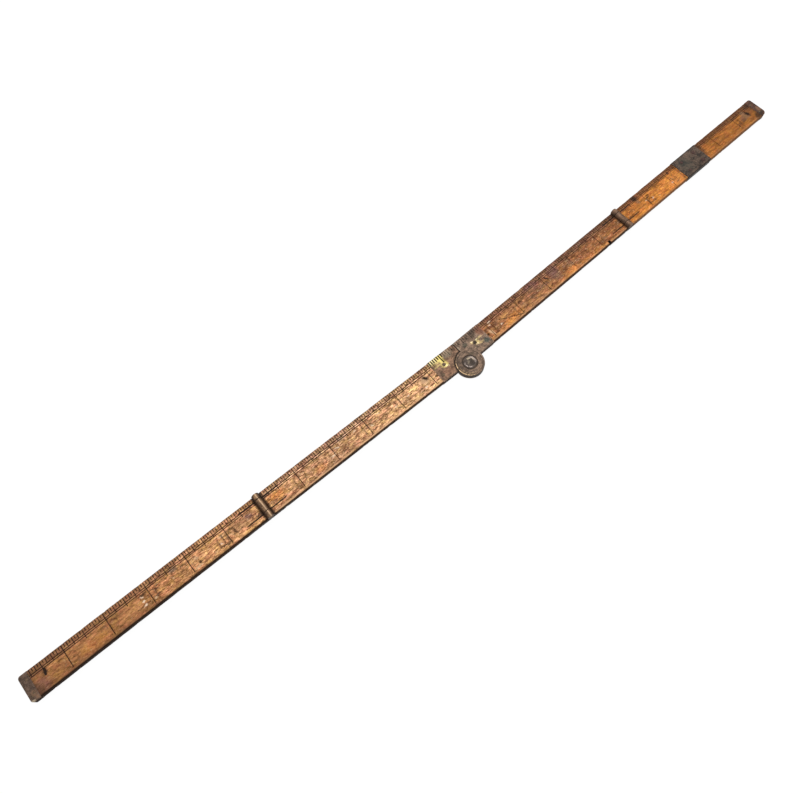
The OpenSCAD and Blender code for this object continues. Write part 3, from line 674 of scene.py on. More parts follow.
# %% Four kinds of wear
WOODS = {
    "outer_leg_left": {
        "half": LEFT, "body_name": "outer_left", "slot": "boxwood_far_left", "seed": 3,
        "body": [(150, (206, 150, 102)), (190, (204, 148, 98)), (230, (180, 124, 78)),
                 (304, (166, 112, 68))],
        "scale": [(150, (212, 156, 110)), (230, (176, 126, 86)), (304, (152, 104, 70))],
        "drift": 0.3, "pores": 0.85, "chips": 0.6, "dirt": 0.5, "halo": 0.7, "rubbed": 0.12,
        "contrast": 0.85, "grime": 0.2, "kerf": 1.0, "notch": 0.0, "lively": (250, 215),
        "side": (26, 13, 7), "side_spread": 1.5, "low": (0.62, 0.58, 0.58, 1), "low_from": (190, 250),
        "ink": (0.5, 0.95, 0.3, 0.5),
        "flaws": [
            ("plum", (162.3, 8.8), (2.4, 1.5), 30, 0.8),
            ("burnt", (156.6, 5.4), (1.6, 1.5), 0, 0.7),
            ("grey", (168, 8), (8, 3.5), 0, 0.3),
            ("pale", (181.0, 9.4), (1.8, 0.5), 0, 0.7),
            ("bare", (183.0, 5.6), (0.7, 0.5), 0, 0.7),
            ("dark", (184.2, 6.2), (0.5, 2.8), 0, 0.7),
            ("dark", (178.4, 7.0), (0.6, 3.0), 0, 0.6),
            ("burnt", (181.0, 3.4), (3.2, 0.6), 8, 0.85),
            ("dark", (172.8, 6.6), (0.6, 2.8), -20, 0.7),
            ("grey", (212.0, 11.2), (2.6, 1.5), 0, 0.8),
            ("dark", (203.0, 9.6), (4.6, 0.5), 0, 0.6),
            ("burnt", (197.6, 4.8), (1.0, 0.8), 0, 0.85),
            ("pale", (199.6, 3.4), (2.6, 0.5), 0, 0.8),
            ("pale", (198.6, 8.4), (1.6, 0.9), 0, 0.6),
            ("burnt", (232.6, 10.6), (3.4, 0.45), 0, 0.8),
            ("burnt", (225.2, 9.0), (2.6, 0.5), 28, 0.75),
            ("dark", (225.0, 5.4), (2.6, 0.5), -8, 0.75),
            ("bare", (233.2, 9.4), (0.9, 0.6), 0, 0.95),
            ("bare", (233.0, 7.0), (0.8, 0.5), 0, 0.95),
            ("bare", (233.4, 4.6), (0.9, 0.6), 0, 0.95),
            ("pale", (227.0, 4.4), (1.0, 0.5), 0, 0.8),
            ("dark", (249.0, 9.4), (5.0, 0.5), 0, 0.5),
            ("orange", (264, 5), (9, 3), 0, 0.35),
            ("dark", (292, 9.9), (1.4, 2.3), 12, 0.9),
            ("dark", (295.5, 14.0), (5.0, 2.8), 0, 0.4),
            ("dark", (283.0, 15.0), (7.0, 1.6), 0, 0.3),
            ("plum", (296.5, 4.5), (4.4, 4.0), 0, 0.6),
            ("burnt", (298.0, 3.4), (2.4, 3.0), 0, 0.3),
        ],
    },
    "inner_leg_left": {
        "half": LEFT, "body_name": "inner_left", "slot": "boxwood_left", "seed": 11,
        "body": [(22, (220, 170, 122)), (70, (212, 160, 112)), (105, (198, 148, 106)),
                 (150, (200, 145, 100))],
        "scale": [(22, (190, 145, 104)), (90, (180, 137, 104)), (150, (192, 146, 106))],
        "drift": 0.35, "pores": 0.9, "chips": 0.85, "dirt": 0.5, "halo": 0.75, "rubbed": 0.8,
        "contrast": 1.05, "grime": 0.3, "kerf": 1.0, "notch": 0.0, "lively": (0, 1),
        "side": (40, 24, 14), "side_spread": 0.9, "low": (0.7, 0.68, 0.7, 1), "low_from": (60, 90),
        "ink": (0.5, 0.97, 0.3, 0.5),
        "flaws": [
            ("orange", (143.5, 8.2), (6.0, 3.0), 0, 0.7),
            ("orange", (113.0, 5.0), (4.0, 2.0), 0, 0.5),
            ("dark", (95.0, 4.6), (3.0, 0.5), 0, 0.75),
            ("grey", (93.4, 12.0), (3.6, 1.5), 0, 0.7),
            ("dark", (58.0, 9.6), (3.6, 0.5), -20, 0.6),
            ("dark", (67.0, 5.0), (2.6, 0.5), 10, 0.6),
            ("dark", (52.6, 4.4), (1.8, 0.5), 40, 0.6),
            ("grey", (147.5, 12.6), (2.6, 1.0), 0, 0.6),
            ("grey", (146.5, 6.4), (3.6, 1.0), 0, 0.55),
            ("dark", (119.5, 7.2), (3.2, 1.0), 0, 0.4),
            ("bare", (98.4, 8.8), (1.6, 0.5), 20, 0.75),
            ("bare", (103.0, 6.2), (1.4, 0.5), -15, 0.7),
            ("bare", (84.0, 10.4), (1.2, 0.4), 0, 0.7),
            ("bare", (73.4, 6.6), (1.0, 0.5), 30, 0.75),
            ("bare", (66.0, 10.2), (1.3, 0.4), 10, 0.65),
            ("bare", (55.0, 6.4), (1.0, 0.5), -30, 0.7),
            ("bare", (44.6, 7.4), (0.9, 0.5), 0, 0.65),
            ("dark", (127.2, 8.6), (0.8, 2.2), 25, 0.4),
            ("dark", (76.0, 7.8), (0.8, 2.4), 0, 0.35),
            ("dark", (51.0, 8.0), (0.8, 2.2), 0, 0.3),
            ("pale", (30.0, 8.6), (2.6, 2.6), 0, 0.6),
            ("burnt", (28.9, 9.4), (1.1, 2.2), -40, 0.85),
            ("bare", (31.8, 4.4), (0.9, 0.6), 0, 0.9),
        ],
    },
    "inner_leg_right": {
        "half": RIGHT, "body_name": "inner_right", "slot": "boxwood_right", "seed": 23,
        "body": [(22, (164, 110, 68)), (60, (156, 106, 68)), (110, (150, 96, 58)), (150, (148, 94, 54))],
        "scale": [(22, (144, 98, 70)), (80, (132, 92, 66)), (150, (112, 76, 52))],
        "drift": 0.45, "pores": 0.4, "chips": 0.6, "dirt": 0.6, "halo": 0.5, "rubbed": 0.35,
        "contrast": 0.65, "grime": 0.5, "kerf": 0.7, "notch": 1.0, "lively": (0, 1),
        "side": (60, 38, 25), "side_spread": 0.9, "low": (1.16, 1.18, 1.12, 1), "low_from": (0, 1),
        "ink": (0.2, 0.8, 0.3, 0.55),
        "flaws": [
            ("orange", (42.0, 4.0), (9.0, 2.6), 10, 0.75),
            ("orange", (107.0, 2.2), (22.0, 1.7), 0, 0.4),
            ("pale", (25.2, 5.8), (2.6, 0.9), -70, 0.75),
            ("grey", (86.6, 8.0), (3.4, 4.0), 0, 0.5),
            ("grey", (100.0, 8.0), (2.2, 4.0), 0, 0.45),
            ("dark", (54.0, 8.4), (1.0, 2.2), 15, 0.4),
            ("burnt", (38.4, 7.1), (4.2, 0.4), -27, 0.7),
            ("burnt", (45.6, 3.9), (5.0, 0.4), -27, 0.7),
            ("plum", (68.0, 12.6), (5.5, 3.4), 0, 0.6),
            ("plum", (86.5, 11.0), (4.5, 4.5), 0, 0.6),
            ("burnt", (79.6, 10.4), (0.7, 2.2), 35, 0.7),
            ("dark", (66.0, 9.2), (5.0, 0.6), -6, 0.5),
            ("orange", (98.0, 3.6), (5.0, 2.4), 0, 0.7),
            ("bare", (28.6, 12.2), (1.2, 0.5), 0, 0.8),
            ("bare", (27.2, 10.6), (1.0, 0.5), 0, 0.7),
            ("bare", (33.8, 6.0), (0.9, 0.4), 0, 0.7),
            ("dark", (30.8, 4.2), (2.6, 0.6), 0, 0.5),
            ("dark", (118.0, 9.4), (5.0, 0.6), 4, 0.4),
            ("dark", (136.0, 11.2), (9.0, 0.7), 0, 0.4),
            ("dark", (147.5, 14.8), (3.0, 1.6), 0, 0.5),
        ],
    },
    "outer_leg_right": {
        "half": RIGHT, "body_name": "outer_right", "slot": "boxwood_far_right", "seed": 31,
        "body": [(155, (180, 112, 50)), (205, (198, 124, 54)), (240, (166, 102, 44)), (304, (156, 96, 41))],
        "scale": [(155, (140, 90, 54)), (210, (128, 82, 46)), (304, (116, 74, 42))],
        "drift": 0.35, "pores": 0.3, "chips": 0.35, "dirt": 0.7, "halo": 0.4, "rubbed": 0.15,
        "contrast": 0.5, "grime": 0.15, "kerf": 0.65, "notch": 0.0, "lively": (265, 225),
        "side": (128, 86, 54), "side_spread": 0.9, "low": (1.15, 1.12, 1.0, 1), "low_from": (215, 205),
        "ink": (0.1, 0.65, 0.3, 0.6),
        "flaws": [
            ("burnt", (171.5, 14.2), (2.4, 2.2), 20, 0.9),
            ("grey", (172.0, 10.4), (1.6, 1.6), 0, 0.5),
            ("dark", (180.0, 8.6), (2.4, 0.6), 25, 0.7),
            ("dark", (178.4, 5.6), (0.6, 2.6), -10, 0.65),
            ("dark", (181.8, 3.4), (2.4, 0.5), 0, 0.7),
            ("orange", (207.0, 4.8), (7.0, 3.8), 0, 0.9),
            ("dark", (162.6, 8.4), (2.6, 0.5), 0, 0.5),
            ("dark", (191.0, 11.0), (3.0, 0.5), 0, 0.5),
            ("bare", (177.0, 7.4), (0.8, 0.5), 0, 0.6),
            ("bare", (182.6, 5.6), (0.7, 0.5), 0, 0.6),
            ("bare", (203.0, 5.2), (0.8, 0.5), 0, 0.6),
            ("dark", (204.6, 8.0), (0.5, 3.0), 10, 0.65),
            ("burnt", (206.4, 12.6), (1.1, 0.9), 0, 0.8),
            ("dark", (207.6, 3.6), (2.0, 0.5), 20, 0.7),
            ("dark", (213.0, 2.4), (1.0, 0.8), 0, 0.5),
            ("dark", (240.4, 11.0), (2.4, 6.5), 0, 0.75),
            ("dark", (213.2, 8.0), (0.6, 8.5), 0, 0.5),
            ("grey", (289.0, 8.2), (4.4, 2.6), 0, 0.55),
            ("burnt", (292.8, 8.8), (1.4, 2.8), 15, 0.95),
            ("burnt", (298.5, 13.8), (4.0, 1.6), 0, 0.6),
            ("grey", (290.0, 11.6), (2.0, 1.5), 0, 0.6),
            ("dark", (286.0, 6.4), (2.2, 1.2), 15, 0.6),
            ("dark", (281.0, 6.2), (2.2, 0.9), 20, 0.5),
            ("dark", (297.4, 12.0), (3.4, 4.6), 0, 0.5),
            ("burnt", (297.8, 2.4), (3.0, 2.4), 30, 0.8),
        ],
    },
}
for wood in WOODS.values():
    wood["plain"] = boxwood(wood["slot"], wood)
    wood["inked"] = boxwood(wood["slot"] + "_marks", wood, wood["ink"])
    wood["faint"] = boxwood(wood["slot"] + "_numerals", wood, NUMERAL_INK)

# %% [markdown]
# The scale is cut with a knife: sixteen marks to the inch, in five lengths, and two long lines
# that bound the eighths and quarters. Marks repeat by a rule, so Geometry Nodes make them:
# a line of points, one for each division, with a thin box on each. The number of a division
# decides the length of its box, and a seeded random value makes no two quite alike.
# The boxes aren't shown: they are the tool that cuts the wood.

# %% Helpers for what repeats
def new_tree(name, sizes):
    """A Geometry Nodes tree with named inputs, each with its socket type and first value."""
    tree = bpy.data.node_groups.new(name, "GeometryNodeTree")
    tree.interface.new_socket("Geometry", in_out="INPUT", socket_type="NodeSocketGeometry")
    tree.interface.new_socket("Geometry", in_out="OUTPUT", socket_type="NodeSocketGeometry")
    for label, (kind, value) in sizes.items():
        socket = tree.interface.new_socket(label, in_out="INPUT", socket_type="NodeSocket" + kind)
        socket.default_value = value
    start = Wire(tree)
    inputs = tree.nodes.new("NodeGroupInput")
    wires = {socket.name: Wire(tree, socket) for socket in inputs.outputs if socket.name}
    return tree, start, wires


def close_tree(shapes):
    """Ends a tree: real geometry in place of instances, with the asked material."""
    tree = shapes.tree
    real = shapes.node("GeometryNodeRealizeInstances", None, {0: shapes})
    inputs = tree.nodes.new("NodeGroupInput")
    asked = Wire(tree, inputs.outputs["Material"])
    painted = real.node("GeometryNodeSetMaterial", None, {"Geometry": real, "Material": asked})
    painted.node("NodeGroupOutput", None, {0: painted})


def grow(name, points, tree, half, **sizes):
    """Runs a tree on a few points, in millimetres in a half's frame, and gives the plain mesh."""
    seeds = bpy.data.meshes.new(name)
    seeds.from_pydata([Vector(point) * MM for point in points], [], [])
    grown = show(name, seeds)
    modifier = grown.modifiers.new("grow", "NODES")
    modifier.node_group = tree
    for item in tree.interface.items_tree:
        if item.in_out == "INPUT" and item.name in sizes:
            modifier[item.identifier] = sizes[item.name]
    mesh = settle(grown)
    discard(grown)
    mesh.transform(half)
    if half.determinant() < 0:
        mesh.flip_normals()
    return mesh


def of_every(index, period):
    """1 where an index is a whole number of periods."""
    return index.math("FLOORED_MODULO", period).math("LESS_THAN", 0.5)


def random_share(index, low, high, seed):
    """A random number for each index, always the same for one seed."""
    # This node too has a Min and a Max for each kind of value, and only those in use are enabled
    made = index.node("FunctionNodeRandomValue", {"data_type": "FLOAT"}, None, 1)
    sockets = {socket.name: socket for socket in made.socket.node.inputs if socket.enabled}
    for name, value in {"Min": low, "Max": high, "ID": index, "Seed": seed}.items():
        if isinstance(value, Wire):
            made.tree.links.new(value.socket, sockets[name])
        else:
            sockets[name].default_value = value
    return made


# %% Grow the marks
MARK_LENGTHS = {"Sixteenth": 2.4, "Eighth": 3.5, "Quarter": 4.6, "Half inch": 6.2, "Inch": 14.2}
MARK_WIDTH = 0.42
MARK_DEPTH = 0.16
SHORTEST_SLIP = -0.25
LONGEST_SLIP = 0.1
NARROWEST = 0.8
WIDEST = 1.15
OVER = 1.0

marks_tree, start, size = new_tree("scale_marks", {
    "First": ("Int", 0), "Count": ("Int", 10), "Step": ("Float", STEP * MM), "Seed": ("Int", 1),
    "Width": ("Float", MARK_WIDTH * MM), "Depth": ("Float", MARK_DEPTH * MM),
    **{label: ("Float", length * MM) for label, length in MARK_LENGTHS.items()},
    "Material": ("Material", None)})
division = start.node("GeometryNodeInputIndex") + size["First"]
length = size["Sixteenth"]
shorter = size["Sixteenth"]
for label, period in (("Eighth", 2), ("Quarter", 4), ("Half inch", 8), ("Inch", STEPS_IN_INCH)):
    length = length + (size[label] - shorter) * of_every(division, period)
    shorter = size[label]

length = length + random_share(division, SHORTEST_SLIP * MM, LONGEST_SLIP * MM, size["Seed"])
wide = size["Width"] * random_share(division, NARROWEST, WIDEST, size["Seed"] + 7)
deep = size["Depth"] + OVER * MM
long = length + OVER * MM
line = start.node("GeometryNodeMeshLine", {"mode": "OFFSET"}, {
    "Count": size["Count"],
    "Start Location": start.node("ShaderNodeCombineXYZ", None, {0: size["First"] * size["Step"]}),
    "Offset": start.node("ShaderNodeCombineXYZ", None, {0: size["Step"]})})
shift = start.node("ShaderNodeCombineXYZ", None, {
    1: (OUTER_EDGE + OVER) * MM - long / 2, 2: (TOP + OVER) * MM - deep / 2})
placed = line.node("GeometryNodeSetPosition", None, {"Geometry": line, "Offset": shift})
box = start.node("GeometryNodeMeshCube", None, {"Size": (1, 1, 1)})
scale = start.node("ShaderNodeCombineXYZ", None, {0: wide, 1: long, 2: deep})
close_tree(placed.node("GeometryNodeInstanceOnPoints", None, {
    "Points": placed, "Instance": box, "Scale": scale}))
print("mark lengths in millimetres:", MARK_LENGTHS)

# %% [markdown]
# A leg starts as a straight bar, drawn as rings of points along its length. Each point is
# pushed in by wear: shallow dents everywhere, more along the four long edges, and now and then
# a chip. The bar is then crossed with the CAD leg, which gives it the real ends, slots,
# rebates and holes at their exact places, and last the marks and numerals are cut.
# Cutting by Booleans keeps the shape honest: a groove is a groove, also in the finished mesh.

# %% Draw a worn bar
BLANK_ROUND = 0.55
BLANK_STEP = 1.3
SKIN = 0.012
DENT = 0.035
LEAST_RUB = 0.05
RUB = 0.14
CHIP = 0.6
CHIPS_ABOVE = 0.36


def ring_of(radius, corner_steps=4, across_steps=12, up_steps=3):
    """Points round a leg's section, each with its outward direction and if it is on a corner."""
    # The centre of each corner, its first angle and the steps of the straight run after it
    corners = [(OUTER_EDGE - radius, radius, -90, up_steps),
               (OUTER_EDGE - radius, TOP - radius, 0, across_steps),
               (INNER_EDGE + radius, TOP - radius, 90, up_steps),
               (INNER_EDGE + radius, radius, 180, across_steps)]

    def on_corner(corner, degrees):
        angle = math.radians(corner[2] + degrees)
        out = Vector((0, math.cos(angle), math.sin(angle)))
        return Vector((0, corner[0], corner[1])) + radius * out, out

    ring = []
    for index, corner in enumerate(corners):
        for step in range(corner_steps + 1):
            point, out = on_corner(corner, 90 * step / corner_steps)
            ring.append((point, out, True))
        begin = ring[-1][0]
        end, out = on_corner(corners[(index + 1) % 4], 0)
        for step in range(1, corner[3]):
            ring.append((begin.lerp(end, step / corner[3]), out, False))
    return ring


def wear(point, on_corner, seed):
    """How much wood has gone from a point, in millimetres."""
    dent = SKIN + DENT * abs(noise.noise(Vector((point.x / 7, point.y / 4, seed + point.z / 3))))
    if not on_corner:
        return dent
    rub = LEAST_RUB + RUB * abs(noise.noise(Vector((point.x / 13, point.y / 20, seed))))
    chip = noise.noise(Vector((point.x / 2.1, point.y + seed, point.z / 4))) - CHIPS_ABOVE
    return dent + rub + CHIP * max(0.0, chip)


def tube(rings, closed=False):
    """Points and faces of a skin through rings of points, capped unless it is closed."""
    around = len(rings[0])
    points = [point for ring in rings for point in ring]
    faces = []
    for step in range(len(rings) if closed else len(rings) - 1):
        here = step * around
        there = (step + 1) % len(rings) * around
        for one in range(around):
            other = (one + 1) % around
            faces.append((here + one, here + other, there + other, there + one))
    if not closed:
        faces.append(tuple(reversed(range(around))))
        faces.append(tuple(range(len(points) - around, len(points))))
    return points, faces


def worn_bar(name, first, last, seed, half):
    """A bar between two distances from the pivot, with the wear of its surface."""
    section = ring_of(BLANK_ROUND)
    stations = round((last - first) / BLANK_STEP)
    rings = []
    for step in range(stations + 1):
        along = first + (last - first) * step / stations
        ring = []
        for point, out, on_corner in section:
            place = point + Vector((along, 0, 0))
            ring.append(place - out * wear(place, on_corner, seed))
        rings.append(ring)
    points, faces = tube(rings)
    return mesh_of(name, points, faces, half)


trial = worn_bar("trial", 0, 20, 1, RIGHT)
print("a bar of 20 mm has", len(trial.vertices), "points")
bpy.data.meshes.remove(trial)


# %% [markdown]
# The numerals on such a rule are punched and blacked, and here they have nearly gone. They are
# generic figures: 1 to 23 from the right end to the left, upright when the graduated edge is
# on top, 7.5 mm tall. Text is a curve in Blender; it becomes a mesh first, is scaled to the
# punch's size and moved to its inch mark, and then cuts the wood a few hundredths deep.

# %% Punch the numerals
NUMERAL_HEIGHT = 7.5
NUMERAL_FOOT = OUTER_EDGE - 13.8
NUMERAL_DEPTH = 0.04
NUMERAL_ASIDE = 3.1
NUMERAL_NARROW = 0.92
TEXT_MERGE = 1e-5
INNER_NUMERALS = range(1, INCHES_IN_HALF // 2)
OUTER_NUMERALS = range(INCHES_IN_HALF // 2 + 1, INCHES_IN_HALF)


def punched_digit(digit, centre_x, frame_of_digit):
    """One digit as a closed mesh that reaches down into the wood, centred on centre_x."""
    curve = bpy.data.curves.new("digit", "FONT")
    curve.body = digit
    curve.extrude = 1.0
    written = show("digit", curve)
    mesh = evaluated_mesh(written)
    discard(written)
    shape = bmesh.new()
    shape.from_mesh(mesh)
    bmesh.ops.remove_doubles(shape, verts=shape.verts, dist=TEXT_MERGE)
    xs = [vertex.co.x for vertex in shape.verts]
    ys = [vertex.co.y for vertex in shape.verts]
    middle = (max(xs) + min(xs)) / 2
    stretch = NUMERAL_HEIGHT / (max(ys) - min(ys))
    for vertex in shape.verts:
        x = centre_x + (vertex.co.x - middle) * stretch * NUMERAL_NARROW
        y = NUMERAL_FOOT + (vertex.co.y - min(ys)) * stretch
        z = TOP - NUMERAL_DEPTH if vertex.co.z < 0 else TOP + OVER
        vertex.co = frame_of_digit @ (Vector((x, y, z)) * MM)
    bmesh.ops.recalc_face_normals(shape, faces=shape.faces)
    shape.to_mesh(mesh)
    shape.free()
    return mesh


def join_meshes(name, meshes):
    """One mesh of several."""
    shape = bmesh.new()
    for mesh in meshes:
        shape.from_mesh(mesh)
        bpy.data.meshes.remove(mesh)
    joined = bpy.data.meshes.new(name)
    shape.to_mesh(joined)
    shape.free()
    return joined


def numerals(name, half, inches):
    """The figures at some inch marks of a half, as one cutter."""
    way = -1 if half is LEFT else 1
    frame_of_digits = Matrix.Identity(4) if half is LEFT else RIGHT
    digits = []
    for inch in inches:
        number = str(INCHES_IN_HALF - way * inch)
        for index, digit in enumerate(number):
            aside = NUMERAL_ASIDE if index == len(number) - 1 else -NUMERAL_ASIDE
            digits.append(punched_digit(digit, way * inch * INCH + aside, frame_of_digits))
    return join_meshes(name, digits)


print("numerals stand", NUMERAL_HEIGHT, "mm tall,", round(NUMERAL_FOOT, 1), "mm from the inner edge")


# %% [markdown]
# A tool dropped on the rule leaves a gouge, and dry wood splits along its grain. Both are cut
# with the same Boolean as the marks, so they are real hollows that catch dirt and shade: a
# gouge is a ball squashed to three radii, and a crack is a thin wedge along a jagged line.
# Each is placed by its distance from the pivot and from the inner edge, as the stains are.

# %% Gouges and cracks
CRACK_WIDTH = 0.28
CRACK_DEPTH = 0.3
TAPERED_WIDTH = 0.25
TAPERED_DEPTH = 0.3


def gouge(centre, radii, turn, half):
    """A squashed ball sunk into the top face."""
    shape = bmesh.new()
    bmesh.ops.create_icosphere(shape, subdivisions=3, radius=1.0)
    place = Matrix.Translation((centre[0], centre[1], TOP)) @ Matrix.Rotation(math.radians(turn), 4, "Z")
    place = place @ Matrix.Diagonal((*radii, 1))
    shape.transform(half @ Matrix.Scale(MM, 4) @ place)
    if half.determinant() < 0:
        bmesh.ops.reverse_faces(shape, faces=shape.faces)
    mesh = bpy.data.meshes.new("gouge")
    shape.to_mesh(mesh)
    shape.free()
    return mesh


def crack(points, half):
    """A wedge along a line of points on the top face, narrower and shallower at its ends."""
    rings = []
    for index, (u, v) in enumerate(points):
        at_end = index in (0, len(points) - 1)
        wide = CRACK_WIDTH * (TAPERED_WIDTH if at_end else 1) / 2
        deep = CRACK_DEPTH * (TAPERED_DEPTH if at_end else 1)
        rings.append([(u - wide, v, TOP + OVER), (u + wide, v, TOP + OVER), (u, v, TOP - deep)])
    along, faces = tube(rings)
    mesh = mesh_of("crack", along, faces, half)
    shape = bmesh.new()
    shape.from_mesh(mesh)
    bmesh.ops.recalc_face_normals(shape, faces=shape.faces)
    shape.to_mesh(mesh)
    shape.free()
    return mesh


GOUGES = {
    "outer_leg_left": [((292.0, 9.9), (0.8, 2.2, 0.35), 12)],
    "inner_leg_left": [((28.9, 9.4), (0.6, 1.5, 0.25), -40)],
    "inner_leg_right": [((79.6, 10.4), (0.5, 1.3, 0.15), 35)],
    "outer_leg_right": [((292.8, 8.4), (0.8, 1.4, 0.3), 15), ((171.6, 15.9), (1.0, 0.7, 0.4), 0)],
}
CRACKS = {
    "inner_leg_left": [[(52, 2.2), (62, 1.7), (76, 1.5), (88, 1.8)]],
    "inner_leg_right": [[(34.6, 9.3), (38.2, 7.2), (43.0, 5.4), (47.6, 2.9), (50.4, 0.9)]],
}
print("gouges:", sum(len(gouges) for gouges in GOUGES.values()), "cracks:", len(CRACKS))

# %% [markdown]
# Now each leg is made from these parts. The order matters: the bar is crossed with the CAD leg
# first, so that marks and lines are cut into the worn surface and stop short of the barrel's
# groove, of the plates and of the cap. Every cutter brings its own material along, which the
# new faces take, and so the cuts are inked without any picture being painted on the wood.

# %% Cut the four legs
LINE_WIDTH = 0.38
CLEAR = 0.4


def long_line(first, last, away, half):
    """The cutter of one long line, so far from the graduated edge."""
    section = [(OUTER_EDGE - away + side * LINE_WIDTH / 2, height)
               for side, height in ((-1, TOP + OVER), (-1, TOP - MARK_DEPTH),
                                    (1, TOP - MARK_DEPTH), (1, TOP + OVER))]
    rings = [[(along, y, z) for y, z in section] for along in (first, last)]
    points, faces = tube(rings)
    return mesh_of("line", points, faces, half)


def cut(obj, cutter_mesh, material, operation="DIFFERENCE"):
    """Cuts an object by a mesh; the new faces take the cutter's material."""
    cutter_mesh.materials.clear()
    cutter_mesh.materials.append(material)
    cutter = show("cutter", cutter_mesh)
    modifier = obj.modifiers.new("cut", "BOOLEAN")
    modifier.operation = operation
    modifier.solver = "MANIFOLD"
    modifier.material_mode = "TRANSFER"
    modifier.object = cutter
    settle(obj)
    discard(cutter)


def make_leg(node):
    """One leg: a worn bar, crossed with the CAD leg and cut with its marks and flaws."""
    wood = WOODS[node]
    half = wood["half"]
    outer = node.startswith("outer")
    first = HINGE if outer else 0
    last = HALF_LENGTH if outer else HINGE
    bar = worn_bar(node, first - OVER, last + OVER, wood["seed"], half)
    bar.materials.append(wood["plain"])
    leg = show(node, bar)
    cut(leg, merged_copy(node), wood["plain"], "INTERSECT")

    scale_first = HINGE + GROOVE_REACH if outer else PLATE_LENGTH
    scale_last = HALF_LENGTH - CAP_LENGTH if outer else HINGE - GROOVE_REACH
    first_mark = math.ceil((scale_first + CLEAR) / STEP)
    count = math.floor((scale_last - CLEAR) / STEP) - first_mark + 1
    marks = grow("marks", [(0, 0, 0)], marks_tree, half, First=first_mark, Count=count,
                 Seed=wood["seed"], Material=wood["inked"])
    cut(leg, marks, wood["inked"])
    for away in LINE_REACHES:
        cut(leg, long_line(scale_first - OVER, scale_last + OVER, away, half), wood["inked"])
    cut(leg, numerals("numerals", half, OUTER_NUMERALS if outer else INNER_NUMERALS), wood["faint"])
    for centre, radii, turn in GOUGES[node]:
        cut(leg, gouge(centre, radii, turn, half), wood["inked"])
    for points in CRACKS.get(node, ()):
        cut(leg, crack(points, half), wood["inked"])
    mesh = leg.data
    discard(leg)
    smooth(mesh)
    print(f"{node}: {count} marks from division {first_mark}")
    return dress(node + "_worn", mesh, wood["body_name"], wood["slot"], [node])


for node in WOODS:
    make_leg(node)


# %% [markdown]
# Old brass is not one colour. Handling keeps the high spots bright and yellow, air turns the
# rest brown and grey, and damp leaves green. One function makes all the brass of this rule: a
# mottled skin of two patina tones, pits and scratches, then named bright and green spots in
# the same coordinates as the wood's stains. Bright metal is smoother and more metallic than
# the skin over it, so the same mask drives colour, metal and roughness. All fittings get dirt
# and painted shade on their narrow sides. They then differ only in their tones, in their
# spots, in which of their cuts hold dirt, and in their painted light: shade in gaps and
# seams, a highlight on one side of a rim, and on a barrel a highlight along its crown and
# shade on its flanks.

# %% Coordinates and noises of the brass
BRIGHT_BRASS = paint(214, 192, 122)
OLIVE_SKIN = paint(112, 100, 68)
PIT_DIRT = paint(44, 33, 25)
# Painted shade in gaps and seams
GAP_SHADE = paint(38, 28, 21)
# Dirt in cuts, and painted shade in a barrel's slots
CUT_DIRT_AND_SHADE = paint(24, 17, 13)
# Painted shade for a barrel's flanks and between its knuckles
FLANK_SHADE = paint(42, 27, 18)
# Dirt and painted shade on narrow sides
SIDE_DIRT_AND_SHADE = paint(42, 29, 21)
SPOT_COLOURS = {
    "bright": BRIGHT_BRASS,
    "polished": paint(252, 240, 190),
    "yellow": paint(226, 206, 104),
    "green": paint(76, 80, 72),
    "dark": paint(44, 34, 26),
    "warm": paint(150, 112, 84),
    "pale": paint(176, 160, 136),
    "red": paint(150, 90, 64),
}
BARE_METAL = ("bright", "polished", "yellow")


class Fitting(Place):
    """Coordinates on a fitting, with the noises that the layers of its brass share."""

    def __init__(self, start, half):
        super().__init__(start, half)
        self.mottle = self.noise((0.4, 0.4, 0.4), detail=5, rough=0.78)
        self.fine = self.noise((1.5, 1.5, 1.5), detail=3, rough=0.6, offset=(4, 1, 6))
        self.scratches = self.noise((0.5, 4.0, 4.0), detail=3, rough=0.7, offset=(2, 9, 4))
        self.skin = (self.mottle * 0.6 + self.fine * 0.2 + self.scratches * 0.2).fade(0.4, 0.6)
        pits = self.noise((0.9, 0.9, 0.9), detail=3, rough=0.7, offset=(8, 8, 1))
        self.pits = pits.fade(0.6, 0.68)
        flat = self.plain.node("ShaderNodeVectorMath", {"operation": "MULTIPLY"},
                               {0: self.plain, 1: (1, 1, 0)})
        self.radius = flat.node("ShaderNodeVectorMath", {"operation": "LENGTH"}, {0: flat}, "Value")


print("spots come in", len(SPOT_COLOURS), "colours")


# %% Mix the old brass
def with_plate_cuts(colour, fitting, ticks):
    """Dirt in a plate's marks, which fade in between two distances, and painted shade in its seam."""
    tick = mark_halo(fitting, STEP, 0.6, 0.34) * fitting.v.fade(OUTER_EDGE - 2.9, OUTER_EDGE - 2.5)
    half_inch = fitting.u.near(INCH / 2, 0.55, 0.25) * fitting.v.fade(OUTER_EDGE - 6.3, OUTER_EDGE - 5.8)
    tick = tick.math("MAXIMUM", half_inch) * fitting.u.fade(*ticks)
    colour = colour.covered(tick * (0.7 + fitting.fine * 0.5), CUT_DIRT_AND_SHADE)
    # Painted shade in the seam between the two halves' plates
    seam = fitting.u.fade(0.9, 0.4) * fitting.radius.fade(DISC_RADIUS, DISC_RADIUS + 0.4)
    return colour.covered(seam * 0.85, GAP_SHADE)


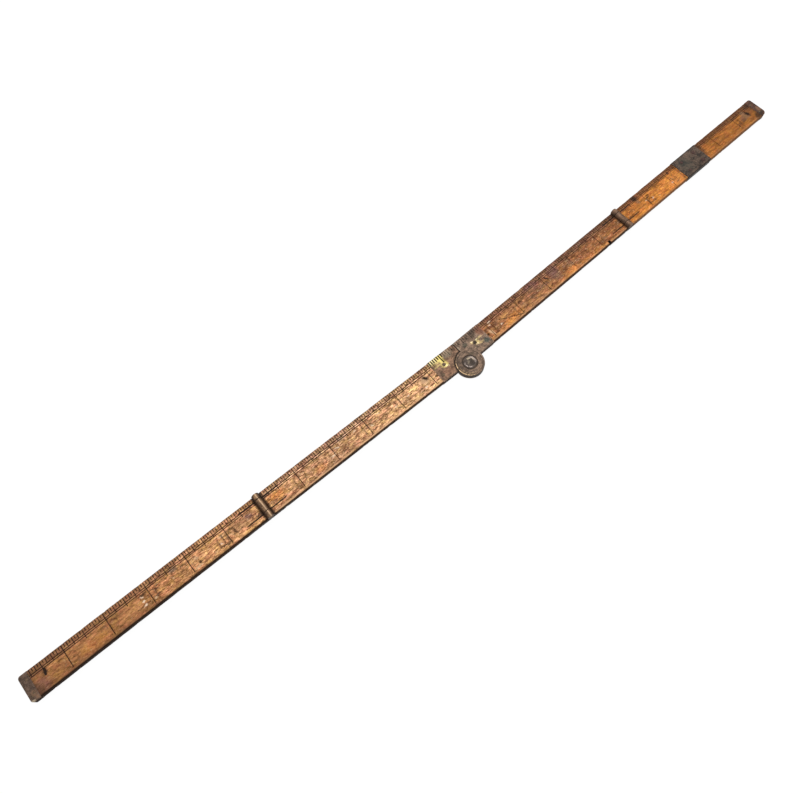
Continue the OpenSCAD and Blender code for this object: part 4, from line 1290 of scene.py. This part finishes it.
def with_barrel_highlight_and_shade(colour, fitting, shine, worn):
    """A painted highlight along a barrel's crown, and painted shade on its flanks and between knuckles."""
    crown_highlight = fitting.u.near(HINGE - 0.4, 0.55, 0.1) * fitting.z.fade(TOP, TOP + 1.5)
    colour = colour.covered(crown_highlight * (0.25 + shine), worn)
    flank_shade = (fitting.u - HINGE).math("ABSOLUTE").fade(0.8, 1.9) * (0.5 + shine)
    for seam in KNUCKLE_SEAMS:
        flank_shade = flank_shade.math("MAXIMUM", fitting.v.near(seam, 0.4, 0.15))
    return colour.covered(flank_shade * 0.88, FLANK_SHADE)


def worn_patina(fitting, dark, light, spots, rings, gaps, shine):
    """The colour of the patina, and how much bare metal shows through it."""
    fine, scratches, radius = fitting.fine, fitting.scratches, fitting.radius
    colour = blend_colours(fitting.skin, paint(*dark), paint(*light))
    colour = colour.covered(fitting.mottle.fade(0.42, 0.32) * 0.5, OLIVE_SKIN)
    colour = colour.covered(fitting.pits * 0.65, PIT_DIRT)
    bare = fine.fade(0.62, 0.74) * shine
    # Painted shade in the crevices round the disc and the pivot
    for middle, spread, strength in gaps:
        colour = colour.covered(radius.near(middle, spread, spread * 0.3) * strength, GAP_SHADE)
    # A ring is rubbed bright only on the side that it faces: worn metal with a painted highlight
    for middle, spread, side, strength in rings:
        facing = (fitting.u * side[0] + fitting.v * side[1]) / radius
        band = radius.near(middle, spread, spread * 0.3) * facing.fade(0.35, 1.0)
        bare = bare + band * fine.fade(0.4, 0.56) * strength
    for kind, centre, size, turn, strength in spots:
        mask = fitting.spot(centre, size, turn, soft=0.4) * strength * fitting.top
        if kind in BARE_METAL:
            mask = mask * (0.45 + scratches.fade(0.35, 0.6) * 0.55)
            bare = bare + mask * 0.4
        colour = colour.covered(mask, SPOT_COLOURS[kind])
    return colour, bare.capped()


def old_brass(name, half, dark, light, spots=(), part=None, rings=(), gaps=(), shine=0.3,
              worn=BRIGHT_BRASS, ticks=(9.0, 11.0)):
    """Brass between two tones of patina, with spots like the wood's flaws.

    Rings are circles round the pivot, rubbed bright and brightest on one side: worn metal with a
    painted highlight. Gaps are dark rings of painted shade in the crevices round the disc and the
    pivot. Shine is how much bare metal shows and worn its colour; on a barrel they also set its
    painted highlight along the crown and its painted shade. A part, "plate" or "barrel", has dirt
    in its cuts, which on a barrel's leaves, sunk just below the wood, is painted shade as well,
    and ticks is where the dirt in a plate's marks begins and is full.
    """
    material, start = new_material(name)
    fitting = Fitting(start, half)
    colour, bare = worn_patina(fitting, dark, light, spots, rings, gaps, shine)
    colour = colour.covered(bare, worn)
    if part == "plate":
        colour = with_plate_cuts(colour, fitting, ticks)
    if part == "barrel":
        colour = with_barrel_highlight_and_shade(colour, fitting, shine, worn)
    # Dirt and painted shade on the narrow sides
    side = fitting.z.fade(TOP - 0.2, TOP - 0.5) * fitting.z.fade(0.2, 0.5)
    colour = colour.covered(side * 0.8, SIDE_DIRT_AND_SHADE)
    # Dirt in the sunk cuts; on a barrel's leaves, whose tops lie just below the wood, it is painted shade
    # in their slots
    if part:
        deep = fitting.z.fade(TOP - 0.03, TOP - 0.08) * fitting.z.fade(TOP - 0.3, TOP - 0.2)
        colour = colour.covered(deep, CUT_DIRT_AND_SHADE)
    metal = (0.35 + fitting.skin * 0.2 + bare * 0.4).capped()
    rough = 0.5 - bare * 0.16 + fitting.scratches * 0.12
    height = fitting.mottle * 0.6 + fitting.fine * 0.3 + fitting.scratches * 0.2 - fitting.pits * 0.5
    paint_surface(colour, rough, height, 0.35, 0.09, {"Metallic": metal, "Specular IOR Level": 0.3})
    print(f"{name}: {len(material.node_tree.nodes)} nodes")
    return material


# %% Brass for each fitting
LEFT_WEAR = [
    ("bright", (16.0, 14.4), (4.6, 2.4), 0, 0.75),
    ("polished", (18.4, 15.2), (3.2, 1.5), 0, 0.9),
    ("yellow", (13.2, 13.6), (1.9, 3.0), 0, 0.95),
    ("bright", (13.6, 9.3), (2.3, 2.1), 20, 0.85),
    ("yellow", (12.2, 9.6), (1.2, 1.8), 0, 0.5),
    ("polished", (12.6, 7.6), (1.4, 0.6), 30, 0.8),
    ("bright", (17.8, 10.6), (2.4, 0.5), 0, 0.6),
    ("dark", (13.6, 9.3), (1.35, 1.35), 0, 1.0),
    ("pale", (7.6, 13.6), (3.4, 2.6), 0, 0.45),
    ("dark", (19.8, 6.4), (2.0, 3.0), 0, 0.3),
    ("red", (15.0, 4.0), (4.5, 2.4), 0, 0.15),
]
RIGHT_WEAR = [
    ("bright", (13.0, 6.8), (2.3, 1.5), -35, 0.7),
    ("polished", (12.6, 6.3), (1.2, 0.7), -30, 0.8),
    ("bright", (16.4, 8.6), (2.4, 0.45), 0, 0.5),
    ("bright", (16.0, 5.4), (2.0, 0.5), 0, 0.4),
    ("bright", (10.1, 8.8), (0.9, 0.9), 30, 0.6),
    ("dark", (11.7, 7.7), (1.3, 1.3), 0, 0.9),
    ("green", (18.7, 4.2), (2.0, 1.8), 0, 0.85),
    ("green", (19.6, 10.6), (1.8, 1.2), 0, 0.5),
    ("green", (5.8, 10.4), (1.8, 1.6), 0, 0.45),
    ("dark", (4.6, 9.6), (1.0, 0.8), 0, 0.5),
    ("polished", (10.2, 9.2), (0.7, 0.5), 0, 0.9),
    ("polished", (13.6, 8.6), (0.8, 0.6), 0, 0.9),
    ("red", (19.8, 12.4), (2.8, 3.6), 0, 0.5),
    ("dark", (14.0, 14.6), (6.0, 1.4), 0, 0.4),
    ("dark", (-5.6, 0.6), (4.2, 6.5), 0, 0.45),
    ("pale", (0.9, 15.7), (0.6, 0.5), 0, 0.9),
    ("pale", (0.9, 11.6), (0.35, 1.6), 0, 0.5),
]
# Rims rubbed bright with a painted highlight on one side, and rings of painted shade in the crevices
DISC_RUB_AND_HIGHLIGHT_RINGS = [(DISC_RADIUS - 0.3, 0.5, (-1.0, -0.25), 1.3), (7.6, 0.8, (-0.8, -0.6), 0.3)]
DISC_GAP_SHADES = [(DISC_RADIUS - 1.2, 0.5, 0.5), (4.7, 0.65, 0.9)]
# The pale spot at the corner is a painted glint
LEFT_TIP_SPOTS_AND_GLINT = [
    ("pale", (303.6, 0.9), (0.9, 0.6), 0, 0.9),
    ("warm", (301.5, 4.2), (1.6, 1.6), 0, 0.4),
    ("warm", (300.6, 1.6), (0.8, 1.2), 0, 0.5),
]
RIGHT_TIP_SPOTS = [
    ("warm", (303.0, 6.4), (1.6, 2.4), 0, 0.5),
    ("dark", (300.6, 2.2), (2.6, 1.8), 30, 0.8),
]
PLATE_BARE_AND_HIGHLIGHT = paint(186, 156, 118)
# On a barrel the worn colour is both its bare metal and its painted highlight along the crown
NEAR_BARREL_BARE_AND_HIGHLIGHT = paint(206, 174, 140)
FAR_BARREL_BARE_AND_HIGHLIGHT = paint(140, 110, 90)
CAP_WORN = paint(170, 146, 130)
# The left plate's gap is a ring of painted shade along the disc's edge
left_plate_brass = old_brass("joint_brass_left", LEFT, (72, 54, 42), (152, 118, 94), LEFT_WEAR,
                             "plate", gaps=[(DISC_RADIUS + 0.4, 0.9, 0.8)])
right_plate_brass = old_brass("joint_brass_right", RIGHT, (72, 58, 48), (148, 122, 102), RIGHT_WEAR,
                              "plate", DISC_RUB_AND_HIGHLIGHT_RINGS, DISC_GAP_SHADES, worn=PLATE_BARE_AND_HIGHLIGHT, ticks=(8.0, 60.0))
barrel_near = old_brass("barrel_brass_near", LEFT, (74, 52, 34), (154, 120, 88), part="barrel",
                        shine=0.5, worn=NEAR_BARREL_BARE_AND_HIGHLIGHT)
barrel_far = old_brass("barrel_brass_far", RIGHT, (82, 60, 46), (138, 106, 82), part="barrel",
                       shine=0.05, worn=FAR_BARREL_BARE_AND_HIGHLIGHT)
cap_near = old_brass("tip_brass_near", LEFT, (62, 48, 39), (112, 90, 76), LEFT_TIP_SPOTS_AND_GLINT, worn=CAP_WORN)
cap_far = old_brass("tip_brass_far", RIGHT, (54, 34, 26), (109, 74, 58), RIGHT_TIP_SPOTS, worn=CAP_WORN)

# %% [markdown]
# Sheet and bar brass is worked crisp and then rubbed round, and the eye reads that thin line
# of light along an edge. The plates, discs, leaves and caps keep the CAD's exact shape: a
# merged copy is taken, its sharp outward edges are broken by a narrow bevel, and the cuts of
# the scale are left sharp by giving their edges no bevel weight.

# %% Break the edges of the brass
SHARP = math.radians(40)
FLAT = math.radians(0.5)
PLATE_BREAK = 0.09
KNUCKLE_BREAK = 0.12
CAP_BREAK = 0.16


def broken_edges(node, width, spare=None):
    """A merged copy of a node with its outward edges bevelled, apart from those to spare."""
    mesh = merged_copy(node)
    shape = bmesh.new()
    shape.from_mesh(mesh)
    bmesh.ops.dissolve_limit(shape, angle_limit=FLAT, verts=shape.verts, edges=shape.edges)
    weight = shape.edges.layers.float.new("bevel_weight_edge")
    broken = 0
    for edge in shape.edges:
        if len(edge.link_faces) != 2 or edge.calc_face_angle_signed(0) < SHARP:
            continue
        if spare and spare(edge):
            continue
        edge[weight] = 1.0
        broken += 1
    shape.to_mesh(mesh)
    shape.free()
    worked = show(node, mesh)
    bevel = worked.modifiers.new("break", "BEVEL")
    bevel.limit_method = "WEIGHT"
    bevel.width = width * MM
    bevel.segments = 2
    bevel.use_clamp_overlap = True
    result = settle(worked)
    discard(worked)
    smooth(result)
    print(f"{node}: {broken} edges broken by {width} mm")
    return result


def by_the_marks(edge):
    """True for the edges of the cuts and of the rim that they cross."""
    lowest = OUTER_EDGE - MARK_LENGTHS["Half inch"] - 0.3
    return all(vertex.co.y > lowest * MM for vertex in edge.verts)


for node, body, slot, material, width, spare in (
        ("tongue_top_plate", "inner_left", "joint_brass", left_plate_brass, PLATE_BREAK, by_the_marks),
        ("tongue_bottom_plate", "inner_left", "joint_brass", left_plate_brass, PLATE_BREAK, None),
        ("joint_tongue", "inner_left", "joint_brass", left_plate_brass, PLATE_BREAK, None),
        ("joint_top_cheek", "inner_right", "joint_brass", right_plate_brass, PLATE_BREAK, by_the_marks),
        ("joint_bottom_cheek", "inner_right", "joint_brass", right_plate_brass, PLATE_BREAK, None),
        ("left_hinge_outer_leaf", "outer_left", "barrel_brass", barrel_near, KNUCKLE_BREAK, None),
        ("left_hinge_inner_leaf", "inner_left", "barrel_brass", barrel_near, KNUCKLE_BREAK, None),
        ("right_hinge_inner_leaf", "inner_right", "barrel_brass", barrel_far, KNUCKLE_BREAK, None),
        ("right_hinge_outer_leaf", "outer_right", "barrel_brass", barrel_far, KNUCKLE_BREAK, None),
        ("tip_cap_left", "outer_left", "tip_brass", cap_near, CAP_BREAK, None),
        ("tip_cap_right", "outer_right", "tip_brass", cap_far, CAP_BREAK, None)):
    dress(node + "_worn", broken_edges(node, width, spare), body, slot, [node], material)

# %% [markdown]
# Twenty-one small rivets, pins and nails hold the rule together. They are all the same thing:
# a round shank with a slightly domed end. So one Geometry Nodes tree makes them from points:
# each point gets a turned pin that hangs below it, with its ends raised towards the middle,
# and a seeded size and turn. A nail also gets a wider head. Each group is one mesh, because all
# its pins ride on the same body.

# %% Grow the rivets and pins
PIN_SIDES = 40
SHANK_RINGS = 4
HEAD_RINGS = 5
LEAST_SIZE = 0.93
NO_HEAD = 1e-7
FULL_TURN = 6.28
pins_tree, start, size = new_tree("turned_pins", {
    "Radius": ("Float", MM), "Length": ("Float", TOP * MM), "Rise": ("Float", 0.05 * MM),
    "Head radius": ("Float", 0.0), "Head height": ("Float", 0.0), "Seed": ("Int", 1),
    "Material": ("Material", None)})


def turned(radius, depth, rise, fill):
    """A cylinder whose two ends are domed by rise."""
    bar = start.node("GeometryNodeMeshCylinder", {"fill_type": "TRIANGLE_FAN"}, {
        "Vertices": PIN_SIDES, "Side Segments": 1, "Fill Segments": fill, "Radius": radius,
        "Depth": depth})
    here = start.node("GeometryNodeInputPosition")
    x, y, z = (here.node("ShaderNodeSeparateXYZ", None, {0: here}, axis) for axis in range(3))
    share = (x * x + y * y) / (radius * radius)
    lift = here.node("ShaderNodeCombineXYZ", None, {2: z.math("SIGN") * rise * (1 - share)})
    return bar.node("GeometryNodeSetPosition", None, {"Geometry": bar, "Offset": lift})


shank_depth = size["Length"] - size["Rise"] * 2
shank = turned(size["Radius"], shank_depth, size["Rise"], SHANK_RINGS)
sunk = start.node("ShaderNodeCombineXYZ", None, {2: size["Length"] * -0.5})
shank = shank.node("GeometryNodeTransform", None, {"Geometry": shank, "Translation": sunk})
head = turned(size["Head radius"], size["Head height"], size["Head height"] * 0.5, HEAD_RINGS)
raised = start.node("ShaderNodeCombineXYZ", None, {2: size["Head height"]})
head = head.node("GeometryNodeTransform", None, {"Geometry": head, "Translation": raised})
both = start.node("GeometryNodeJoinGeometry", None, {"Geometry": [shank, head]})
has_head = size["Head radius"].math("GREATER_THAN", NO_HEAD)
pin = start.node("GeometryNodeSwitch", {"input_type": "GEOMETRY"}, {
    "Switch": has_head, "False": shank, "True": both})
index = start.node("GeometryNodeInputIndex")
across_size = random_share(index, LEAST_SIZE, 1.0, size["Seed"])
turn = start.node("ShaderNodeCombineXYZ", None, {2: random_share(index, 0.0, FULL_TURN, size["Seed"] + 3)})
stretch = start.node("ShaderNodeCombineXYZ", None, {0: across_size, 1: across_size, 2: 1.0})
points = start.node("NodeGroupInput")
close_tree(points.node("GeometryNodeInstanceOnPoints", None, {
    "Points": points, "Instance": pin, "Rotation": turn, "Scale": stretch}))
print("turned pins:", len(pins_tree.nodes), "nodes")


# %% Seat the rivets
def centres_of(node, half):
    """The centres, in a half's own frame, of a node's separate pins, found from its mesh."""
    shape = bmesh.new()
    shape.from_mesh(merged_copy(node))
    shape.verts.ensure_lookup_table()
    left_over = set(shape.verts)
    centres = []
    while left_over:
        stack = [left_over.pop()]
        island = []
        while stack:
            vertex = stack.pop()
            island.append(vertex.co)
            for edge in vertex.link_edges:
                other = edge.other_vert(vertex)
                if other in left_over:
                    left_over.remove(other)
                    stack.append(other)
        low = [min(co[axis] for co in island) for axis in range(3)]
        high = [max(co[axis] for co in island) for axis in range(3)]
        middle = half.inverted() @ Vector([(a + b) / 2 for a, b in zip(low, high)])
        centres.append((round(middle.x / MM, 2), round(middle.y / MM, 2), low[2] / MM, high[2] / MM))
    shape.free()
    return sorted(centres)


CHEEK_STAINS = [spot for spot in RIGHT_WEAR if spot[0] in ("green", "dark")]
rivets_near = old_brass("rivet_brass_left", LEFT, (66, 52, 40), (128, 104, 82))
rivets_far = old_brass("rivet_brass_right", RIGHT, (70, 58, 44), (124, 104, 78), CHEEK_STAINS)
PIN_GROUPS = (
    ("tongue_side_rivets", "inner_left", LEFT, 1.2, 0.06),
    ("cheek_side_rivets", "inner_right", RIGHT, 1.2, 0.06),
    ("tip_pins_left", "outer_left", LEFT, 0.7, 0.05),
    ("tip_pins_right", "outer_right", RIGHT, 0.7, 0.05),
    ("left_hinge_outer_rivets", "outer_left", LEFT, 0.8, 0.05),
    ("left_hinge_inner_rivets", "inner_left", LEFT, 0.8, 0.05),
    ("right_hinge_inner_rivets", "inner_right", RIGHT, 0.8, 0.05),
    ("right_hinge_outer_rivets", "outer_right", RIGHT, 0.8, 0.05))
for number, (node, body, half, radius, rise) in enumerate(PIN_GROUPS):
    found = centres_of(node, half)
    low, high = found[0][2:]
    mesh = grow(node, [(x, y, high) for x, y, _, _ in found], pins_tree, half, Radius=radius * MM,
                Length=(high - low) * MM, Rise=rise * MM, Seed=number,
                Material=rivets_near if half is LEFT else rivets_far)
    smooth(mesh)
    dress(node + "_turned", mesh, body, "rivet_brass", [node])

# %% [markdown]
# The pivot rivet is peened over: its head has been hammered down until it spread. It is a
# profile turned round the pivot, with a rounded rim and a shallow dish, and the hammer's
# facets come from noise at fixed places that lowers the face a little.

# %% Peen the pivot rivet
TURNED_SHARP = math.radians(50)
PIVOT_SEGMENTS = 72
PIVOT_TOP = reach("pivot_rivet", 1, 2)
PIVOT_HEAD = reach("pivot_rivet", 1, 0)
PIVOT_SHANK = 2.5
PIVOT_SINK = 0.8
PIVOT_ROUND = 0.55
PIVOT_RIM_STEPS = 6
DISH_DEPTH = 0.09
DISH_RIM = 0.86
HAMMERED_RADIUS = 3.9
SHALLOWEST_BLOW = 0.05
DEEPEST_BLOW = 0.14
BLOW_SWING = 0.16
BLOW_SIZE = 1.3
RIM_FOOT = 0.05
RIM_WEAR = 0.02


def turned_points(profile, segments):
    """Points and faces of a profile of (radius, height) pairs, turned about Z and closed."""
    rings = []
    for radius, height in profile:
        rings.append([Vector((radius * math.cos(angle), radius * math.sin(angle), height))
                      for angle in (2 * math.pi * step / segments for step in range(segments))])
    return tube(rings)


head_rise = PIVOT_TOP - TOP
profile = [(0.05, 0.0), (PIVOT_HEAD * 0.6, 0.0), (PIVOT_HEAD, 0.0), (PIVOT_SHANK, PIVOT_SINK),
           (PIVOT_SHANK, TOP * 0.6), (PIVOT_SHANK, TOP), (PIVOT_HEAD - 0.02, TOP)]
for step in range(PIVOT_RIM_STEPS + 1):
    angle = math.pi / 2 * step / PIVOT_RIM_STEPS
    rim = PIVOT_HEAD - PIVOT_ROUND + PIVOT_ROUND * math.cos(angle)
    profile.append((rim, TOP + head_rise * math.sin(angle)))
for share in (0.78, 0.68, 0.58, 0.45, 0.3, 0.15, 0.01):
    profile.append((PIVOT_HEAD * share, PIVOT_TOP - DISH_DEPTH * (DISH_RIM - share)))
points, faces = turned_points(profile, PIVOT_SEGMENTS)
for point in points:
    if point.z > TOP + RIM_FOOT:
        blow = noise.noise(Vector((point.x / BLOW_SIZE, point.y / BLOW_SIZE, 4.0)))
        sunk = min(DEEPEST_BLOW, SHALLOWEST_BLOW + BLOW_SWING * abs(blow))
        point.z -= sunk if math.hypot(point.x, point.y) < HAMMERED_RADIUS else RIM_WEAR
pivot_mesh = mesh_of("pivot_rivet", points, faces, Matrix.Identity(4))
smooth(pivot_mesh, TURNED_SHARP)
# The pale spots and the rings are painted highlights along the rim of the domed head
PIVOT_SPOTS_AND_HIGHLIGHTS = [
    ("pale", (-0.6, 0.6), (1.0, 0.8), 20, 0.35),
    ("dark", (0.6, -0.7), (1.7, 1.4), -20, 0.5),
    ("pale", (0.9, 2.6), (1.7, 0.6), -20, 0.9),
    ("pale", (2.9, 0.8), (0.6, 1.3), 0, 0.8),
]
PIVOT_HIGHLIGHT_RINGS = [(3.4, 0.7, (1.0, 0.15), 1.2), (3.5, 0.6, (-1.0, -0.4), 1.0)]
pivot_brass = old_brass("pivot_metal", RIGHT, (46, 38, 33), (94, 82, 74), PIVOT_SPOTS_AND_HIGHLIGHTS,
                        rings=PIVOT_HIGHLIGHT_RINGS, worn=paint(160, 146, 138))
dress("pivot_rivet_peened", pivot_mesh, "inner_right", "pivot_metal", ["pivot_rivet"], pivot_brass)

# %% [markdown]
# Each barrel turns on a brass pin that was driven in from the graduated edge, and its
# head was left as a small dome there. Both pins are alike, so one profile serves them: it is
# turned about Z like the pivot, then laid along the axis of its hinge.

# %% Turn the hinge pins
PIN_RADIUS = 1.0
PIN_SEGMENTS = 48
PIN_CENTRE = 0.02
DOME_STEPS = 8
HEAD_RIM = 0.08
head_top = reach("left_hinge_pin", 1, 1) - OUTER_EDGE
head_radius = (reach("left_hinge_pin", 1, 0) - reach("left_hinge_pin", 0, 0)) / 2
profile = [(PIN_CENTRE, 0.0), (PIN_RADIUS, 0.0), (PIN_RADIUS, WIDTH)]
for step in range(DOME_STEPS + 1):
    angle = math.pi / 2 * step / DOME_STEPS
    rise = HEAD_RIM + (head_top - HEAD_RIM) * math.sin(angle)
    profile.append((max(head_radius * math.cos(angle), PIN_CENTRE), WIDTH + rise))
for node, body, half, material in (("left_hinge_pin", "outer_left", LEFT, barrel_near),
                                   ("right_hinge_pin", "inner_right", RIGHT, barrel_far)):
    axis_height = reach(node, 1, 2) - head_radius
    points, faces = turned_points(profile, PIN_SEGMENTS)
    laid = Matrix.Translation((HINGE, INNER_EDGE, axis_height)) @ Matrix.Rotation(-math.pi / 2, 4, "X")
    mesh = mesh_of(node, [laid @ point for point in points], faces, half)
    smooth(mesh, TURNED_SHARP)
    dress(node + "_domed", mesh, body, "barrel_brass", [node], material)

# %% [markdown]
# The outer right leg has split, and someone has wrapped it in thin iron sheet and nailed it.
# Such a sheet is never flat: it follows the leg, bulges between the nails and is dimpled
# around them, and its cut ends wander. It is drawn as two skins of rings round the leg, the
# outer one dented towards the wood, joined at both ends. Where its two edges lap underneath
# there is a small step.

# %% Measure the mender's sheet
SHEET = -reach("repair_band", 0, 2)
half_turn_back = RIGHT.inverted()
band_spots = [half_turn_back @ vertex.co / MM for vertex in frame["nodes"]["repair_band"].data.vertices]
BAND_FIRST = min(point.x for point in band_spots)
BAND_LAST = max(point.x for point in band_spots)
NAILS = [(x, y) for x, y, _, _ in centres_of("repair_nails", RIGHT)]
print(f"sheet {SHEET:.2f} mm thick, from {BAND_FIRST:.1f} to {BAND_LAST:.1f} mm, {len(NAILS)} nails")

# %% Wrap the mender's sheet
SHEET_STEP = 0.6
SHEET_CLEAR = 0.02
LEG_ROUND = 0.4
WAVES = 0.05
RIPPLES = 0.03
DIMPLE = 0.09
DIMPLE_SPREAD = 1.7
SIDE_DENT = 0.1
FACE_LIMIT = 0.55
SIDE_LIMIT = 0.7
LAP_LIMIT = 0.6
RAGGED = 0.22
LAP_AT = 10.2
LAP_STEP = 0.09


def sheet_ring(grow_by):
    """The leg's section grown by a wall."""
    section = ring_of(LEG_ROUND, corner_steps=6, across_steps=26, up_steps=6)
    return [(point + out * grow_by, out) for point, out, _ in section]


def sheet_dent(u, spot, out):
    """How far a spot of the sheet is pushed towards the wood, at a distance from the pivot."""
    dent = WAVES * abs(noise.noise(Vector((u / 4, spot.y / 4, 2.0))))
    dent += RIPPLES * abs(noise.noise(Vector((u, spot.y, 7.0))))
    for x, y in NAILS if spot.z > TOP else ():
        dent += DIMPLE * math.exp(-((u - x) ** 2 + (spot.y - y) ** 2) / DIMPLE_SPREAD)
    dent = min(dent, SHEET * FACE_LIMIT)
    if abs(out.y) > 0.7:
        dent = min(dent + SIDE_DENT, SHEET * SIDE_LIMIT)
    if spot.z < 0 and spot.y < LAP_AT:
        dent = min(dent + LAP_STEP, SHEET * LAP_LIMIT)
    return dent


outer_ring = sheet_ring(SHEET)
inner_ring = sheet_ring(SHEET_CLEAR)
stations = round((BAND_LAST - BAND_FIRST) / SHEET_STEP)
rings = []
for step in range(stations + 1):
    share = step / stations
    inwards = 1 if share < 0.5 else -1
    by_end = max(0.0, 1 - min(share, 1 - share) * 20)
    ring = []
    for spot, out in outer_ring:
        wander = noise.noise(Vector((spot.y / 3, spot.z, share > 0.5)))
        pull = RAGGED * (1 + wander) * inwards * by_end
        u = BAND_FIRST + (BAND_LAST - BAND_FIRST) * share + pull
        ring.append(Vector((u, spot.y, spot.z)) - out * sheet_dent(u, spot, out))
    rings.append(ring)
for step in (stations, 0):
    rings.append([Vector((rings[step][index].x, point.y, point.z))
                  for index, (point, out) in enumerate(inner_ring)])
points, faces = tube(rings, closed=True)
band_mesh = mesh_of("repair_band", points, faces, RIGHT)
smooth(band_mesh, SHARP)
print("the sheet has", len(rings), "rings of", len(outer_ring), "points")

# %% Colour the mender's sheet
SHEET_DARK = paint(46, 38, 33)
SHEET_LIGHT = paint(108, 90, 76)
SHEET_GREEN = paint(68, 70, 62)
SHEET_WARM = paint(118, 84, 68)
SHEET_EDGE = paint(34, 26, 22)
RUST = paint(62, 34, 30)
OLD_DIRT = paint(46, 38, 34)
RUSTY_BEYOND = 230
iron, start = new_material("band_sheet")
place = Place(start, RIGHT)
cloud = place.noise((0.16, 0.2, 0.2), detail=4, rough=0.62, offset=(2, 2, 2))
speck = place.noise((0.9, 0.9, 0.9), detail=4, rough=0.65)
colour = blend_colours((cloud * 0.5 + speck * 0.5).fade(0.4, 0.6), SHEET_DARK, SHEET_LIGHT)
colour = colour.covered(place.spot((222, 9.0), (4.5, 6.0), soft=0.8) * 0.45, SHEET_GREEN)
for x, y in NAILS:
    stain = place.spot((x, y), (1.9, 1.7), soft=0.6) * 0.7
    colour = colour.covered(stain, RUST if x > RUSTY_BEYOND else OLD_DIRT)
colour = colour.covered(speck.fade(0.58, 0.7) * 0.5, SHEET_WARM)
edge = place.v.fade(INNER_EDGE + 1.0, INNER_EDGE + 0.1) + place.v.fade(OUTER_EDGE - 0.9, OUTER_EDGE - 0.1)
colour = colour.covered(edge * 0.8, SHEET_EDGE)
paint_surface(colour, 0.45 + speck * 0.3, cloud * 0.6 + speck * 0.4, 0.4, 0.1,
              {"Metallic": 0.15, "Specular IOR Level": 0.2})
dress("repair_band_dented", band_mesh, "outer_right", "band_sheet", ["repair_band"], iron)

# %% [markdown]
# Four cut nails hold the sheet. They have rusted through and through, so their heads are dull,
# rough and maroon, and sit a little sunk in the dimples round them. Their places are read from
# the CAD nails, and the tree of the rivets grows them with its wider head switched on.

# %% Drive the nails
NAIL_RADIUS = 0.45
NAIL_LENGTH = 3.2
NAIL_RISE = 0.02
NAIL_SINK = 0.06
NAIL_HEAD_RADIUS = 0.9
NAIL_HEAD_HEIGHT = 0.12
rusty, start = new_material("rusty_nail")
speck = Place(start, RIGHT).noise((2.2, 2.2, 2.2), detail=3, rough=0.6)
colour = blend_colours(speck.fade(0.35, 0.65), paint(46, 28, 26), paint(88, 54, 46))
paint_surface(colour, 0.6 + speck * 0.2, speck, 0.4, 0.08, {"Metallic": 0.2})
mesh = grow("repair_nails", [(x, y, TOP + SHEET - NAIL_SINK) for x, y in NAILS], pins_tree, RIGHT,
            **{"Radius": NAIL_RADIUS * MM, "Length": NAIL_LENGTH * MM, "Rise": NAIL_RISE * MM,
               "Head radius": NAIL_HEAD_RADIUS * MM, "Head height": NAIL_HEAD_HEIGHT * MM,
               "Seed": 5, "Material": rusty})
smooth(mesh)
dress("repair_nails_rusty", mesh, "outer_right", "rusty_nail", ["repair_nails"])
